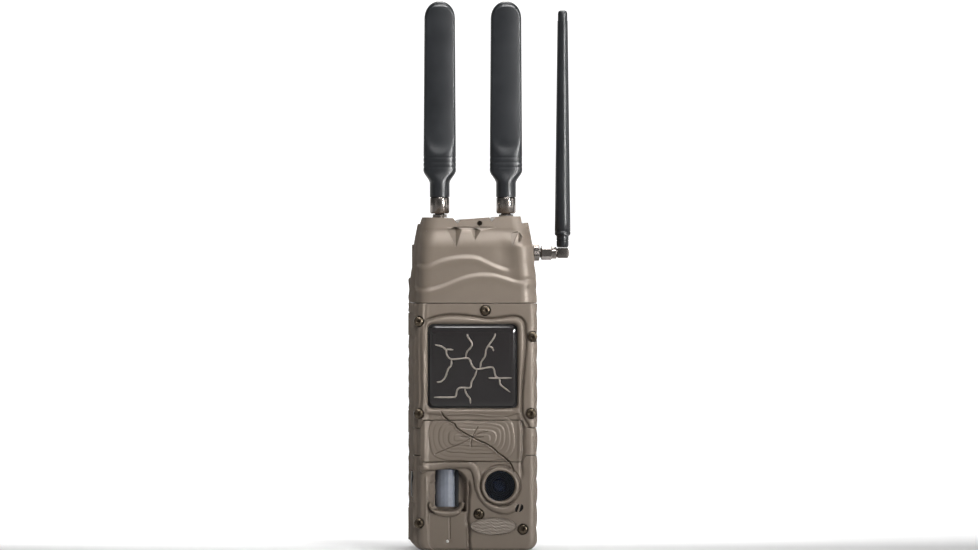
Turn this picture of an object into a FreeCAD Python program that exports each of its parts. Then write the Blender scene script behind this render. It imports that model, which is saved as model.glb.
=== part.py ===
import FreeCAD, Part
import os
import re

import Sketcher
from FreeCAD import Placement, Rotation, Vector

# Trail camera. +Z is up, the front faces -Y, and the origin is the mouth of the tripod socket
# in the middle of the base. All sizes are in millimetres.

SIZES = {
    # casing
    "body_half": 38, "front_y": -42, "cover_back": -24, "rear_y": 34, "door_front": 34.2, "door_back": 42,
    "side_wall": 2.8, "front_wall": 3, "corner": 7, "cap_seam": 150.4, "cap_top": 202.8, "seam": 0.2,
    "shoulder_z": 186, "ridge_front": -23, "ridge_back": 26, "cap_wall": 6.2,
    # front covers
    "band_low": 54, "band_high": 79.4, "band_left": -32, "band_right": 28.4, "ear_low": 58, "ear_high": 74.7,
    "ear_left": -33.6, "ear_right": 30.6, "pane_left": -29.2, "pane_right": 27, "pane_low": 86,
    "pane_high": 137.6, "pane_gap": 0.6, "flange": 2.6, "head_radius": 3, "shank_radius": 1.5,
    "boss_radius": 2.8, "fastener_gap": 0.05,
    # camera, motion sensor, microphone, badge
    "lens_x": 14.8, "lens_z": 39.5, "lens_radius": 9.2, "pir_x": -17.3, "pir_low": 27, "pir_high": 49.2,
    "pir_radius": 6.9, "mic_x": 26.5, "mic_z": 26, "badge_x": 11, "badge_z": 15, "badge_half": 14,
    "badge_rise": 5.1, "light_x": -17, "light_z": 5.8,
    # camera stack, front to back
    "glass_thick": 1.2, "barrel_y": -38, "barrel_wide": 7, "barrel_bore": 5.5, "barrel_deep": 11,
    "holder_y": -27, "holder_half": 12, "holder_rise": 9, "holder_deep": 6, "filter_half": 5,
    "filter_y": -24.6, "board_thick": 1.6, "led_y": -31, "led_radius": 2.5, "led_tall": 5,
    # antennas
    "mast_x": 20.3, "mast_y": -4, "thread_radius": 3.1, "coupling_radius": 5.9, "coupling_low": 205,
    "coupling_high": 215, "neck_high": 223, "blade_low": 231, "blade_half": 10, "blade_tip": 335,
    "blade_thick": 8, "side_z": 181, "side_y": -4, "whip_x": 55, "whip_low": 192, "whip_tip": 329.5,
    "flange_radius": 4.2, "socket_low": 191, "stem_radius": 2.5, "neck_radius": 6.1, "nut_radius": 5,
    "side_flange": 27, "side_nut_x": 41.8, "elbow_left": 51.5, "elbow_right": 58.6, "elbow_half": 3.4,
    # battery bay, cells
    "bay_left": -31.4, "bay_right": 35.2, "bay_low": 8, "bay_high": 140, "cell_radius": 16.45,
    "cell_tall": 61.4, "cell_pitch": 33.1, "cell_base": 11, "cell_y": 17.2, "cell_button": 4.8,
    "button_rise": 1.6, "plate_half": 9, "plate_thick": 0.6,
    # door, hinge, latch, seal
    "pin_x": -35.6, "pin_y": 36.8, "barrel_radius": 2.4, "pin_radius": 1.2, "bore_radius": 1.25,
    "door_low": 4, "door_high": 186, "latch_x": 35.9, "latch_y": 39.6, "latch_low": 72, "latch_high": 88,
    "latch_barrel": 1.9, "latch_pin": 0.9, "latch_bore": 0.95, "seal_left": -32.6, "seal_right": 36.2,
    "seal_low": 5.6, "seal_high": 184.6, "seal_wide": 1,
    # rear panel
    "panel_face": 30, "panel_back": 27.5, "button_x": 18.5, "button_z": 173, "button_step": 6.2,
    "card_x": 17, "card_z": 159.2, "card_half": 12, "card_thick": 2.2, "switch_x": -12, "switch_z": 159.5,
    "key_radius": 2.5,
    # bracket, tripod socket, power jack
    "bracket_half": 29, "bracket_deep": 50.5, "strap_floor": 48, "tooth_rise": 2.5, "rail": 4,
    "socket_radius": 3.175, "socket_deep": 9, "insert_radius": 5, "insert_high": 9.5, "jack_y": -14,
    "jack_z": 40, "jack_half": 6, "flap_half": 7.6,
}

# Face screws as x, z on the front.
BEZEL_SCREWS = [(-34.7, 139.4), (5.9, 146.1), (34.7, 130.2), (-34.7, 83.3), (33.7, 83.4)]
COVER_SCREWS = [(-34.6, 16.8), (2, 22.3), (28.8, 13.1)]
FACE_SCREWS = BEZEL_SCREWS + COVER_SCREWS

# Heights where the housing's hinge knuckles sit, and where the door's do.
HOUSING_KNUCKLES = [(4, 24), (70, 84), (130, 144)]
DOOR_KNUCKLES = [(24.3, 69.7), (84.3, 129.7), (144.3, 186)]

# Bracket: heights of its screws, and of the strap tunnels from the top one down.
BRACKET_SCREWS = [32, 80, 142]
TUNNELS = [(96, 124), (36, 64)]

# Raised branches on the pane, each a run of x, z points chosen by eye.
BRANCHES = [
    [(-23, 128), (-18, 127), (-15, 123), (-12, 119), (-3.5, 120), (0, 117.5), (3, 113.5), (7, 113.2)],
    [(-15, 123), (-12.5, 124.8), (-9.5, 125)],
    [(-12, 119), (-13, 114.5), (-16, 110), (-20, 106.5)],
    [(-3.5, 133.5), (-2, 130), (-1, 126), (-3, 123), (-3.5, 120)],
    [(14.5, 133), (13, 128.5), (9.5, 124), (8.5, 119), (7, 113.2)],
    [(9.5, 124), (12, 123.8), (14, 122)],
    [(7, 113.2), (15, 113), (18, 108.5), (20, 103), (24, 98.5)],
    [(18, 108.5), (21, 109.2), (23.5, 108)],
    [(7, 113.2), (4.5, 108), (2, 100.5), (-5, 101), (-8.5, 97), (-16, 96), (-22, 96)],
    [(2, 100.5), (4.5, 95), (6, 90.5)],
]
BRANCH_HALF = 0.65

doc = FreeCAD.newDocument("trail_camera")
sheet = doc.addObject("Spreadsheet::Sheet", "dims")
parts = []


def fill_sheet():
    """Writes each driving size into its own named cell."""
    for row, (name, value) in enumerate(SIZES.items(), start=1):
        sheet.set(f"A{row}", str(value))
        sheet.setAlias(f"A{row}", name)
    doc.recompute()


def bound(text):
    """Turns a size written with sheet names into an expression on the sheet."""
    return re.sub(r"[a-z][a-z_]*", lambda found: "dims." + found.group(0), str(text))


def keep(piece, label):
    """Names a finished sub-part and puts it on the list of files to write."""
    piece.Label = label
    parts.append(piece)
    return piece


# ---- primitives and booleans ----

def box(x_low, x_high, y_low, y_high, z_low, z_high):
    piece = doc.addObject("Part::Box", "box")
    spans = {"Length": (x_low, x_high), "Width": (y_low, y_high), "Height": (z_low, z_high)}
    for name, (low, high) in spans.items():
        piece.setExpression(name, bound(f"({high}) - ({low})"))
    for axis, low in zip("xyz", (x_low, y_low, z_low)):
        piece.setExpression(f"Placement.Base.{axis}", bound(low))
    return piece


TURNS = {"x": Rotation(Vector(0, 1, 0), 90), "y": Rotation(Vector(1, 0, 0), -90), "z": Rotation()}


def place(piece, axis, x, y, z):
    piece.Placement = Placement(Vector(), TURNS[axis])
    for name, value in zip("xyz", (x, y, z)):
        piece.setExpression(f"Placement.Base.{name}", bound(value))
    return piece


def rod(axis, x, y, z, radius, length):
    """Cylinder that starts at a point and runs along +axis."""
    piece = doc.addObject("Part::Cylinder", "rod")
    piece.setExpression("Radius", bound(radius))
    piece.setExpression("Height", bound(length))
    return place(piece, axis, x, y, z)


def cone(axis, x, y, z, radius_low, radius_high, length):
    piece = doc.addObject("Part::Cone", "cone")
    piece.setExpression("Radius1", bound(radius_low))
    piece.setExpression("Radius2", bound(radius_high))
    piece.setExpression("Height", bound(length))
    return place(piece, axis, x, y, z)


def fuse(*pieces):
    joined = doc.addObject("Part::MultiFuse", "fuse")
    joined.Shapes = list(pieces)
    return joined


def cut(base, *tools):
    piece = doc.addObject("Part::Cut", "cut")
    piece.Base = base
    piece.Tool = tools[0] if len(tools) == 1 else fuse(*tools)
    return piece


def group(*pieces):
    """Several separate solids kept as one sub-part."""
    piece = doc.addObject("Part::Compound", "group")
    piece.Links = list(pieces)
    return piece


# ---- sketched bodies ----

def new_body(name):
    return doc.addObject("PartDesign::Body", name)


def sketch(body, role, offset):
    """Sketch on an origin plane of the body, moved along the plane's normal."""
    drawing = body.newObject("Sketcher::SketchObject", "drawing")
    plane = next(item for item in body.Origin.OriginFeatures if item.Role == role)
    drawing.AttachmentSupport = [(plane, "")]
    drawing.MapMode = "FlatFace"
    drawing.setExpression("AttachmentOffset.Base.z", bound(offset))
    return drawing


def front_sketch(body, y):
    """Sketch seen from the front, in x and z, at depth y. Its normal points to the front."""
    return sketch(body, "XZ_Plane", f"-({y})")


def top_sketch(body, z):
    return sketch(body, "XY_Plane", z)


def side_sketch(body, x):
    """Sketch seen from the right, in y and z, at x."""
    return sketch(body, "YZ_Plane", x)


def value_of(text):
    """Number that a size comes to, for a sketch's first guess."""
    return float(sheet.evalExpression(bound(text)))


def polygon(drawing, points):
    """Closed outline of straight edges; each corner's two places are bound to the sheet."""
    corners = [Vector(value_of(u), value_of(v), 0) for u, v in points]
    first = drawing.GeometryCount
    count = len(corners)
    for index in range(count):
        drawing.addGeometry(Part.LineSegment(corners[index], corners[(index + 1) % count]))
    for index in range(count):
        following = first + (index + 1) % count
        drawing.addConstraint(Sketcher.Constraint("Coincident", first + index, 2, following, 1))
    for index, (u, v) in enumerate(points):
        across = Sketcher.Constraint("DistanceX", -1, 1, first + index, 1, corners[index].x)
        upward = Sketcher.Constraint("DistanceY", -1, 1, first + index, 1, corners[index].y)
        for constraint, size in ((across, u), (upward, v)):
            number = drawing.addConstraint(constraint)
            drawing.setExpression(f"Constraints[{number}]", bound(size))
    return drawing


def rectangle(drawing, u_low, u_high, v_low, v_high):
    return polygon(drawing, [(u_low, v_low), (u_high, v_low), (u_high, v_high), (u_low, v_high)])


def circle(drawing, u, v, radius):
    centre = Vector(value_of(u), value_of(v), 0)
    first = drawing.addGeometry(Part.Circle(centre, Vector(0, 0, 1), value_of(radius)))
    sizes = [(Sketcher.Constraint("DistanceX", -1, 1, first, 3, centre.x), u),
             (Sketcher.Constraint("DistanceY", -1, 1, first, 3, centre.y), v),
             (Sketcher.Constraint("Radius", first, value_of(radius)), radius)]
    for constraint, size in sizes:
        number = drawing.addConstraint(constraint)
        drawing.setExpression(f"Constraints[{number}]", bound(size))
    return drawing


def pad(body, drawing, length, backwards=False):
    feature = body.newObject("PartDesign::Pad", "pad")
    feature.Profile = drawing
    feature.setExpression("Length", bound(length))
    feature.Reversed = backwards
    return feature


def pocket(body, drawing, length, backwards=False):
    """Cuts against the sketch's normal, or along it when backwards. It has to take some material."""
    doc.recompute()
    before = body.Shape.Volume
    feature = body.newObject("PartDesign::Pocket", "pocket")
    feature.Profile = drawing
    feature.setExpression("Length", bound(length))
    feature.Reversed = backwards
    doc.recompute()
    if body.Shape.Volume >= before - 1e-6:
        raise RuntimeError(f"a pocket of {body.Name} cuts nothing")
    return feature


def round_edges(body, wanted, radius):
    """Rounds the edges whose middle point is wanted."""
    doc.recompute()
    base = body.Tip
    names = [f"Edge{number}" for number, edge in enumerate(base.Shape.Edges, start=1)
             if wanted(edge.valueAt((edge.FirstParameter + edge.LastParameter) / 2), edge)]
    feature = body.newObject("PartDesign::Fillet", "rounding")
    feature.Base = (base, names)
    feature.setExpression("Radius", bound(radius))
    return feature


def bottom_corner(middle, edge):
    """True for the two edges that run front to back along the base's sides."""
    direction = edge.tangentAt(edge.FirstParameter)
    outside = abs(middle.x) > value_of("body_half - 0.1")
    return outside and abs(direction.y) > 0.99 and abs(middle.z) < 0.01


# ---- casing ----

def main_housing():
    body = new_body("main_housing")
    inner = "body_half - side_wall"
    shell = rectangle(front_sketch(body, "cover_back"), "-body_half", "body_half", "0", "cap_seam")
    pad(body, shell, "rear_y - cover_back", backwards=True)
    round_edges(body, bottom_corner, "corner")
    front_bay = rectangle(front_sketch(body, "cover_back"), f"-({inner})", inner, "side_wall",
                          "cap_seam - side_wall")
    pocket(body, front_bay, "-2 - cover_back")
    rear_bay = rectangle(front_sketch(body, "0"), "bay_left", "bay_right", "bay_low", "bay_high")
    pocket(body, rear_bay, "rear_y")
    bosses = front_sketch(body, "front_y + front_wall + seam")
    for x, z in FACE_SCREWS:
        circle(bosses, x, z, "boss_radius")
    pad(body, bosses, "-(front_y + front_wall + seam) - 1", backwards=True)
    holes = front_sketch(body, "front_y + front_wall")
    for x, z in FACE_SCREWS:
        circle(holes, x, z, "shank_radius + fastener_gap")
    pocket(body, holes, "24")
    pad(body, circle(top_sketch(body, "0"), "0", "0", "insert_radius + 2.5"), "insert_high + 0.8")
    pocket(body, circle(top_sketch(body, "0"), "0", "0", "insert_radius"), "insert_high", backwards=True)
    for low, high in HOUSING_KNUCKLES:
        web = rectangle(top_sketch(body, low), "-body_half", "pin_x + 2", "rear_y - 2", "pin_y")
        pad(body, web, high - low)
        pad(body, circle(top_sketch(body, low), "pin_x", "pin_y", "barrel_radius"), high - low)
    pocket(body, circle(top_sketch(body, 0), "pin_x", "pin_y", "bore_radius"), "150", backwards=True)
    recess = rectangle(side_sketch(body, "latch_x + 0.4"), "21.5", "rear_y", "latch_low - 0.3",
                       "latch_high + 0.3")
    pocket(body, recess, "5", backwards=True)
    flap = rectangle(side_sketch(body, "-body_half + 1.5"), "jack_y - 8", "jack_y + 8", "jack_z - 8",
                     "jack_z + 8.6")
    pocket(body, flap, "5")
    pocket(body, circle(side_sketch(body, "-body_half + 5"), "jack_y", "jack_z", "4.1"), "6")
    leads = top_sketch(body, "cap_seam - 5")
    circle(leads, "0", "-16", "5")
    pocket(body, leads, "8", backwards=True)
    return keep(body, "main_housing")


def cap_outline():
    """Front view of the cap: the sides lean in towards the ridge."""
    lean = [(0, 0), (0.6, 10), (1.9, 24), (3.7, 38.4), (4.9, 48), (8.2, 48.6), (8.6, 52.4)]
    right = [(f"body_half - {back}", f"cap_seam + {up}") for back, up in lean]
    left = [(f"-body_half + {back}", f"cap_seam + {up}") for back, up in reversed(lean)]
    return right + left


def top_cap():
    body = new_body("top_cap")
    pad(body, polygon(front_sketch(body, "front_y"), cap_outline()), "rear_y - front_y", backwards=True)
    above = "cap_top + 9"
    front_slope = [("front_y - 1", "shoulder_z"), ("front_y", "shoulder_z"), ("ridge_front - 10", "196"),
                   ("ridge_front", "cap_top"), ("ridge_front", above), ("front_y - 1", above)]
    rear_slope = [("rear_y + 1", "shoulder_z + 1"), ("rear_y", "shoulder_z + 1"), ("ridge_back", "cap_top"),
                  ("ridge_back", above), ("rear_y + 1", above)]
    for slope in (front_slope, rear_slope):
        pocket(body, polygon(side_sketch(body, "-60"), slope), "120", backwards=True)
    cavity = rectangle(top_sketch(body, "cap_seam"), "-body_half + cap_wall", "body_half - cap_wall", "-36",
                       "panel_face")
    pocket(body, cavity, "35.4", backwards=True)
    upper = rectangle(top_sketch(body, "cap_seam"), "-28", "28", "-18", "20")
    pocket(body, upper, "47.6", backwards=True)
    holes = top_sketch(body, "cap_seam + 40")
    for side in ("-mast_x", "mast_x"):
        circle(holes, side, "mast_y", "thread_radius + fastener_gap")
    pocket(body, holes, "20", backwards=True)
    pocket(body, circle(side_sketch(body, "30"), "side_y", "side_z", "thread_radius + fastener_gap"), "20",
           backwards=True)
    window = rectangle(front_sketch(body, "panel_face - 1"), "-28", "30", "155", "181")
    pocket(body, window, "20")
    return keep(body, "top_cap")


def shell_cover(label, outline, screws):
    """Front cover: a tray open to the back, with a recess and a hole for each screw."""
    body = new_body(label)
    pad(body, polygon(front_sketch(body, "front_y"), outline), "cover_back - front_y", backwards=True)
    if label == "lens_cover":
        round_edges(body, bottom_corner, "corner")
    inner = "body_half - side_wall"
    hollow = rectangle(front_sketch(body, "front_y + front_wall"), f"-({inner})", inner, "side_wall",
                       "cap_seam - side_wall")
    pocket(body, hollow, "30")
    if screws:
        clearances = front_sketch(body, "front_y + front_wall")
        for x, z in screws:
            circle(clearances, x, z, "boss_radius + seam")
        pocket(body, clearances, "30")
        recesses = front_sketch(body, "front_y")
        through = front_sketch(body, "front_y")
        for x, z in screws:
            circle(recesses, x, z, "head_radius + seam")
            circle(through, x, z, "shank_radius + 0.2")
        pocket(body, recesses, "front_wall - 1")
        pocket(body, through, "front_wall")
    return body


def flash_bezel():
    low = "ear_high + seam"
    outline = [("-body_half", low), ("ear_left", low), ("band_left", "band_high + seam"),
               ("band_right", "band_high + seam"), ("ear_right", low), ("body_half", low),
               ("body_half", "cap_seam - seam"), ("-body_half", "cap_seam - seam")]
    body = shell_cover("flash_bezel", outline, BEZEL_SCREWS)
    opening = rectangle(front_sketch(body, "front_y"), "pane_left - pane_gap", "pane_right + pane_gap",
                        "pane_low - pane_gap", "pane_high + pane_gap")
    pocket(body, opening, "front_wall")
    return keep(body, "flash_bezel")


def centre_band():
    outline = [("-body_half", "ear_low"), ("ear_left", "ear_low"), ("band_left", "band_low"),
               ("band_right", "band_low"), ("ear_right", "ear_low"), ("body_half", "ear_low"),
               ("body_half", "ear_high"), ("ear_right", "ear_high"), ("band_right", "band_high"),
               ("band_left", "band_high"), ("ear_left", "ear_high"), ("-body_half", "ear_high")]
    return keep(shell_cover("centre_band", outline, []), "centre_band")


def lens_cover():
    high = "ear_low - seam"
    outline = [("-body_half", "0"), ("body_half", "0"), ("body_half", high), ("ear_right", high),
               ("band_right", "band_low - seam"), ("band_left", "band_low - seam"), ("ear_left", high),
               ("-body_half", high)]
    body = shell_cover("lens_cover", outline, COVER_SCREWS)
    sensor = rectangle(front_sketch(body, "front_y"), "pir_x - pir_radius - 0.4", "pir_x + pir_radius + 0.4",
                       "pir_low - 0.3", "pir_high + 0.3")
    pocket(body, sensor, "front_wall")
    pocket(body, circle(front_sketch(body, "front_y"), "lens_x", "lens_z", "lens_radius"), "front_wall")
    pocket(body, circle(front_sketch(body, "front_y"), "mic_x", "mic_z", "2.4"), "front_wall")
    pocket(body, circle(front_sketch(body, "front_y"), "light_x", "light_z", "1"), "front_wall")
    seat = rectangle(front_sketch(body, "front_y"), "badge_x - badge_half - 0.4",
                     "badge_x + badge_half + 0.4",
                     "badge_z - badge_rise - 0.4", "badge_z + badge_rise + 0.4")
    pocket(body, seat, "1")
    return keep(body, "lens_cover")


def face_screws():
    pieces = []
    for x, z in FACE_SCREWS:
        head = rod("y", x, "front_y + 0.1", z, "head_radius", "front_wall - 1.1")
        drive = rod("y", x, "front_y", z, "1", "1")
        shank = rod("y", x, "front_y + front_wall - 1.1", z, "shank_radius", "20")
        pieces.append(fuse(cut(head, drive), shank))
    return keep(group(*pieces), "face_screws")


# ---- infrared flash ----

def flash_window():
    pane = box("pane_left", "pane_right", "front_y + 0.3", "front_y + front_wall + 1", "pane_low",
               "pane_high")
    rim = box("pane_left - flange", "pane_right + flange", "front_y + front_wall + 0.6",
              "front_y + front_wall + 2.2", "pane_low - flange", "pane_high + flange")
    return keep(fuse(pane, rim), "flash_window")


def flash_gasket():
    back = "front_y + front_wall + 0.6"
    ring = box("pane_left - flange", "pane_right + flange", "front_y + front_wall", back,
               "pane_low - flange", "pane_high + flange")
    hole = box("pane_left", "pane_right", "front_y + front_wall - 1", "front_y + front_wall + 2",
               "pane_low", "pane_high")
    return keep(cut(ring, hole), "flash_gasket")


def window_branches():
    """Thin raised ribs on the pane, rounded at their ends."""
    face_y = value_of("front_y + 0.3")
    solids = []
    for route in BRANCHES:
        spine = Part.makePolygon([Vector(x, face_y, z) for x, z in route])
        outline = spine.makeOffset2D(BRANCH_HALF, join=0, fill=False, openResult=False)
        solids.append(Part.Face(outline).extrude(Vector(0, -0.5, 0)))
    piece = doc.addObject("Part::Feature", "window_branches")
    piece.Shape = solids[0].multiFuse(solids[1:]).removeSplitter()
    return keep(piece, "window_branches")


def led_board():
    board = box("pane_left", "pane_right", "led_y", "led_y + board_thick", "pane_low", "pane_high")
    return keep(board, "led_board")


def led_emitters():
    columns, rows, spacing = 6, 5, 8.6
    middle_x, middle_z = "(pane_left + pane_right) / 2", "(pane_low + pane_high) / 2"
    pieces = []
    for column in range(columns):
        for row in range(rows):
            x = f"{middle_x} + {(column - (columns - 1) / 2) * spacing}"
            z = f"{middle_z} + {(row - (rows - 1) / 2) * spacing}"
            pieces.append(rod("y", x, "led_y - led_tall", z, "led_radius", "led_tall"))
    return keep(group(*pieces), "led_emitters")


# ---- camera ----

def lens_stack():
    """Cover glass, barrel with its lenses, holder with the sliding filter, and the sensor's board."""
    keep(rod("y", "lens_x", "front_y + 1.6", "lens_z", "lens_radius - 0.1", "glass_thick"), "lens_window")
    barrel = rod("y", "lens_x", "barrel_y", "lens_z", "barrel_wide", "barrel_deep")
    bore = rod("y", "lens_x", "barrel_y - 1", "lens_z", "barrel_bore", "barrel_deep + 3")
    keep(cut(barrel, bore), "lens_barrel")
    front_element = rod("y", "lens_x", "barrel_y + 0.6", "lens_z", "barrel_bore", "2")
    inner_element = rod("y", "lens_x", "barrel_y + 2", "lens_z", "barrel_bore - 1.5", "6")
    keep(fuse(front_element, inner_element), "lens_elements")
    holder = stack_box("holder_half", "holder_y", "holder_deep", "holder_rise")
    slot = box("lens_x - holder_half + 1", "lens_x + holder_half + 1", "filter_y - 0.4", "filter_y + 1.2",
               "lens_z - filter_half", "lens_z + filter_half")
    light = rod("y", "lens_x", "holder_y - 1", "lens_z", "barrel_bore - 1.5", "9")
    keep(cut(holder, slot, light), "lens_holder")
    keep(stack_box("filter_half", "filter_y", "0.8", "filter_half - 0.4"), "ir_cut_filter")
    board_y = "holder_y + holder_deep"
    board = stack_box("holder_half", board_y, "board_thick", "holder_rise")
    sensor = stack_box("2.8", f"{board_y} - 1", "2", "2.4")
    keep(fuse(board, sensor), "sensor_board")


def stack_box(half, front, deep, rise):
    """Block centred on the camera's axis."""
    return box(f"lens_x - ({half})", f"lens_x + {half}", front, f"{front} + {deep}", f"lens_z - ({rise})",
               f"lens_z + {rise}")


# ---- motion sensor, microphone, badge, light ----

def pir_lens():
    """Half-round lens shell with a flat flange on each side."""
    tall = "pir_high - pir_low"
    middle = "front_y + pir_radius + 0.8"
    outer = rod("z", "pir_x", middle, "pir_low", "pir_radius", tall)
    inner = rod("z", "pir_x", middle, "pir_low - 1", "pir_radius - 0.9", f"{tall} + 2")
    behind = box("pir_x - 9", "pir_x + 9", middle, f"{middle} + 9", "pir_low - 1", "pir_high + 1")
    shell = cut(outer, inner, behind)
    flanges = [box(f"pir_x + {near}", f"pir_x + {far}", middle, f"{middle} + 1.2", "pir_low", "pir_high")
               for near, far in (("-pir_radius - 2", "-pir_radius + 0.9"), ("pir_radius - 0.9",
                                                                            "pir_radius + 2"))]
    return keep(fuse(shell, *flanges), "pir_lens")


def pir_sensor():
    return keep(rod("y", "pir_x", "-30", "(pir_low + pir_high) / 2", "4.1", "4.5"), "pir_sensor")


def microphone():
    return keep(rod("y", "mic_x", "front_y + front_wall + 0.2", "mic_z", "3", "4"), "microphone")


def badge():
    """Plain oval plate in its seat."""
    body = new_body("badge")
    drawing = front_sketch(body, "front_y - 0.5")
    centre = Vector(value_of("badge_x"), value_of("badge_z"), 0)
    across = centre + Vector(value_of("badge_half"), 0, 0)
    upward = centre + Vector(0, value_of("badge_rise"), 0)
    drawing.addGeometry(Part.Ellipse(across, upward, centre))
    pad(body, drawing, "1.5", backwards=True)
    return keep(body, "badge")


def status_light():
    return keep(rod("y", "light_x", "front_y + 0.2", "light_z", "0.95", "8"), "status_light")


# ---- boards and leads ----

def boards():
    keep(box("-29", "29", "-10", "-10 + board_thick", "27", "141"), "main_board")
    keep(box("-30", "30", "-16 - board_thick", "-16", "154", "180"), "modem_board")


def lead(points):
    """Coaxial lead: straight runs joined by one tangent arc."""
    start, corner, end = points
    first, second = corner - start, end - corner
    radius = 0.45 * min(first.Length, second.Length)
    enter = corner - Vector(first).normalize() * radius
    leave = corner + Vector(second).normalize() * radius
    centre = enter + Vector(second).normalize() * radius
    middle = centre + (corner - centre).normalize() * radius
    path = Part.Wire([Part.LineSegment(start, enter).toShape(), Part.Arc(enter, middle, leave).toShape(),
                      Part.LineSegment(leave, end).toShape()])
    section = Part.Wire([Part.makeCircle(0.7, start, first)])
    return path.makePipeShell([section], True, True)


def antenna_leads():
    mast_x, mast_y, side_z = value_of("mast_x"), value_of("mast_y"), value_of("side_z - 2.5")
    lead_top, side_start = value_of("socket_low"), value_of("side_flange")
    board_y, lead_low, side_turn = -16, 172, 22
    tubes = [lead([Vector(x, mast_y, lead_top), Vector(x, mast_y, lead_low), Vector(x, board_y, lead_low)])
             for x in (-mast_x, mast_x)]
    tubes.append(lead([Vector(side_start, mast_y, side_z), Vector(side_turn, mast_y, side_z),
                       Vector(side_turn, board_y, side_z)]))
    piece = doc.addObject("Part::Feature", "antenna_leads")
    piece.Shape = Part.makeCompound(tubes)
    return keep(piece, "antenna_leads")


# ---- antennas ----

def top_antenna(side, sign):
    """Socket, coupling and paddle on one side of the ridge."""
    x, y = f"{sign} * mast_x", "mast_y"
    flange = rod("z", x, y, "socket_low", "flange_radius", "7")
    thread = rod("z", x, y, "socket_low", "thread_radius", "20.5")
    keep(fuse(flange, thread), f"{side}_antenna_socket")
    barrel = rod("z", x, y, "coupling_low", "coupling_radius", "coupling_high - coupling_low")
    bore = rod("z", x, y, "coupling_low - 1", "thread_radius + fastener_gap", "8")
    chamber = rod("z", x, y, "coupling_low + 6.8", "4.5", "1.8")
    mouth = rod("z", x, y, "coupling_high - 4", "stem_radius + fastener_gap", "6")
    keep(cut(barrel, bore, chamber, mouth), f"{side}_coupling")
    disc = rod("z", x, y, "coupling_high - 3", "4.2", "1.2")
    stem = rod("z", x, y, "coupling_high - 2.6", "stem_radius", "4")
    neck = rod("z", x, y, "coupling_high + seam", "neck_radius", "neck_high - coupling_high")
    shoulder = cone("z", x, y, "neck_high", "neck_radius", "blade_thick / 2", "blade_low - neck_high")
    keep(fuse(disc, stem, neck, shoulder, paddle_blade(x)), f"{side}_paddle")


def paddle_blade(x):
    """Flat blade: shoulders at the foot, a slow taper, and a rounded tip."""
    body = new_body("blade")
    outline = [(-6, "neck_high"), (6, "neck_high"), ("blade_half", "blade_low"),
               ("blade_half - 0.5", "blade_tip - 9"), ("blade_half - 2.6", "blade_tip - 4"),
               (4.5, "blade_tip - 1"), (0, "blade_tip"), (-4.5, "blade_tip - 1"),
               ("-blade_half + 2.6", "blade_tip - 4"), ("-blade_half + 0.5", "blade_tip - 9"),
               ("-blade_half", "blade_low")]
    points = [(f"{x} + {across}", upward) for across, upward in outline]
    drawing = polygon(front_sketch(body, "mast_y - blade_thick / 2"), points)
    pad(body, drawing, "blade_thick", backwards=True)
    return body


def side_antenna():
    y, z = "side_y", "side_z"
    flange = rod("x", "side_flange", y, z, "flange_radius", "4.8")
    thread = rod("x", "side_flange", y, z, "thread_radius", "20.8")
    keep(fuse(flange, thread), "side_antenna_socket")
    hexagon = doc.addObject("Part::Prism", "hexagon")
    hexagon.Polygon = 6
    hexagon.setExpression("Circumradius", "4.4")
    hexagon.setExpression("Height", "9.4")
    place(hexagon, "x", "side_nut_x", y, z)
    bore = rod("x", "side_nut_x - 1.8", y, z, "thread_radius + fastener_gap", "7.9")
    chamber = rod("x", "side_nut_x + 5.8", y, z, "3.5", "2.4")
    mouth = rod("x", "side_nut_x + 7.2", y, z, "2.35", "4")
    keep(cut(hexagon, bore, chamber, mouth), "side_nut")
    block = box("elbow_left", "elbow_right", f"{y} - elbow_half", f"{y} + elbow_half", f"{z} - elbow_half",
                f"{z} + elbow_half - seam")
    stem = rod("x", "elbow_left - 2.5", y, z, "2.3", "3")
    disc = rod("x", "elbow_left - 3.1", y, z, "3.3", "1.4")
    keep(fuse(block, stem, disc), "elbow")
    collar = rod("z", "whip_x", y, f"{z} + 3.2", "3.75", f"whip_low - {z} - 3.2")
    mast = cone("z", "whip_x", y, "whip_low", "4.9", "3.05", "whip_tip - whip_low")
    keep(fuse(collar, mast), "whip")


def socket_nuts():
    """Bulkhead nut of each antenna socket."""
    pieces = []
    for sign in ("-1", "1"):
        nut = rod("z", f"{sign} * mast_x", "mast_y", "cap_top", "nut_radius", "1.9")
        hole = rod("z", f"{sign} * mast_x", "mast_y", "cap_top - 1", "thread_radius + fastener_gap", "4")
        pieces.append(cut(nut, hole))
    nut = rod("x", "35.9", "side_y", "side_z", "nut_radius - 0.1", "5.3")
    hole = rod("x", "35", "side_y", "side_z", "thread_radius + fastener_gap", "8")
    pieces.append(cut(nut, hole))
    return keep(group(*pieces), "socket_nuts")


# ---- rear panel ----

def control_panel():
    plate = box("-29.5", "31.5", "panel_back", "panel_face", "152.5", "183.5")
    card_slot = box("card_x - card_half - 0.2", "card_x + card_half + 0.2", "20", "40", "card_z - 1.4",
                    "card_z + 1.4")
    switch_slot = box("switch_x - 6", "switch_x + 6", "20", "40", "switch_z - 1.5", "switch_z + 1.5")
    cuts = [card_slot, switch_slot]
    cuts += [rod("y", x, 20, z, "key_radius + 0.3", "20") for x, z in button_places().values()]
    cuts.append(box("-26", "6", "panel_back + 1", "40", "164", "180"))
    return keep(cut(plate, *cuts), "control_panel")


def button_places():
    return {"menu_button": ("button_x - button_step", "button_z"),
            "ok_button": ("button_x + button_step", "button_z"),
            "up_button": ("button_x", "button_z + button_step * 0.75"),
            "down_button": ("button_x", "button_z - button_step * 0.75")}


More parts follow.
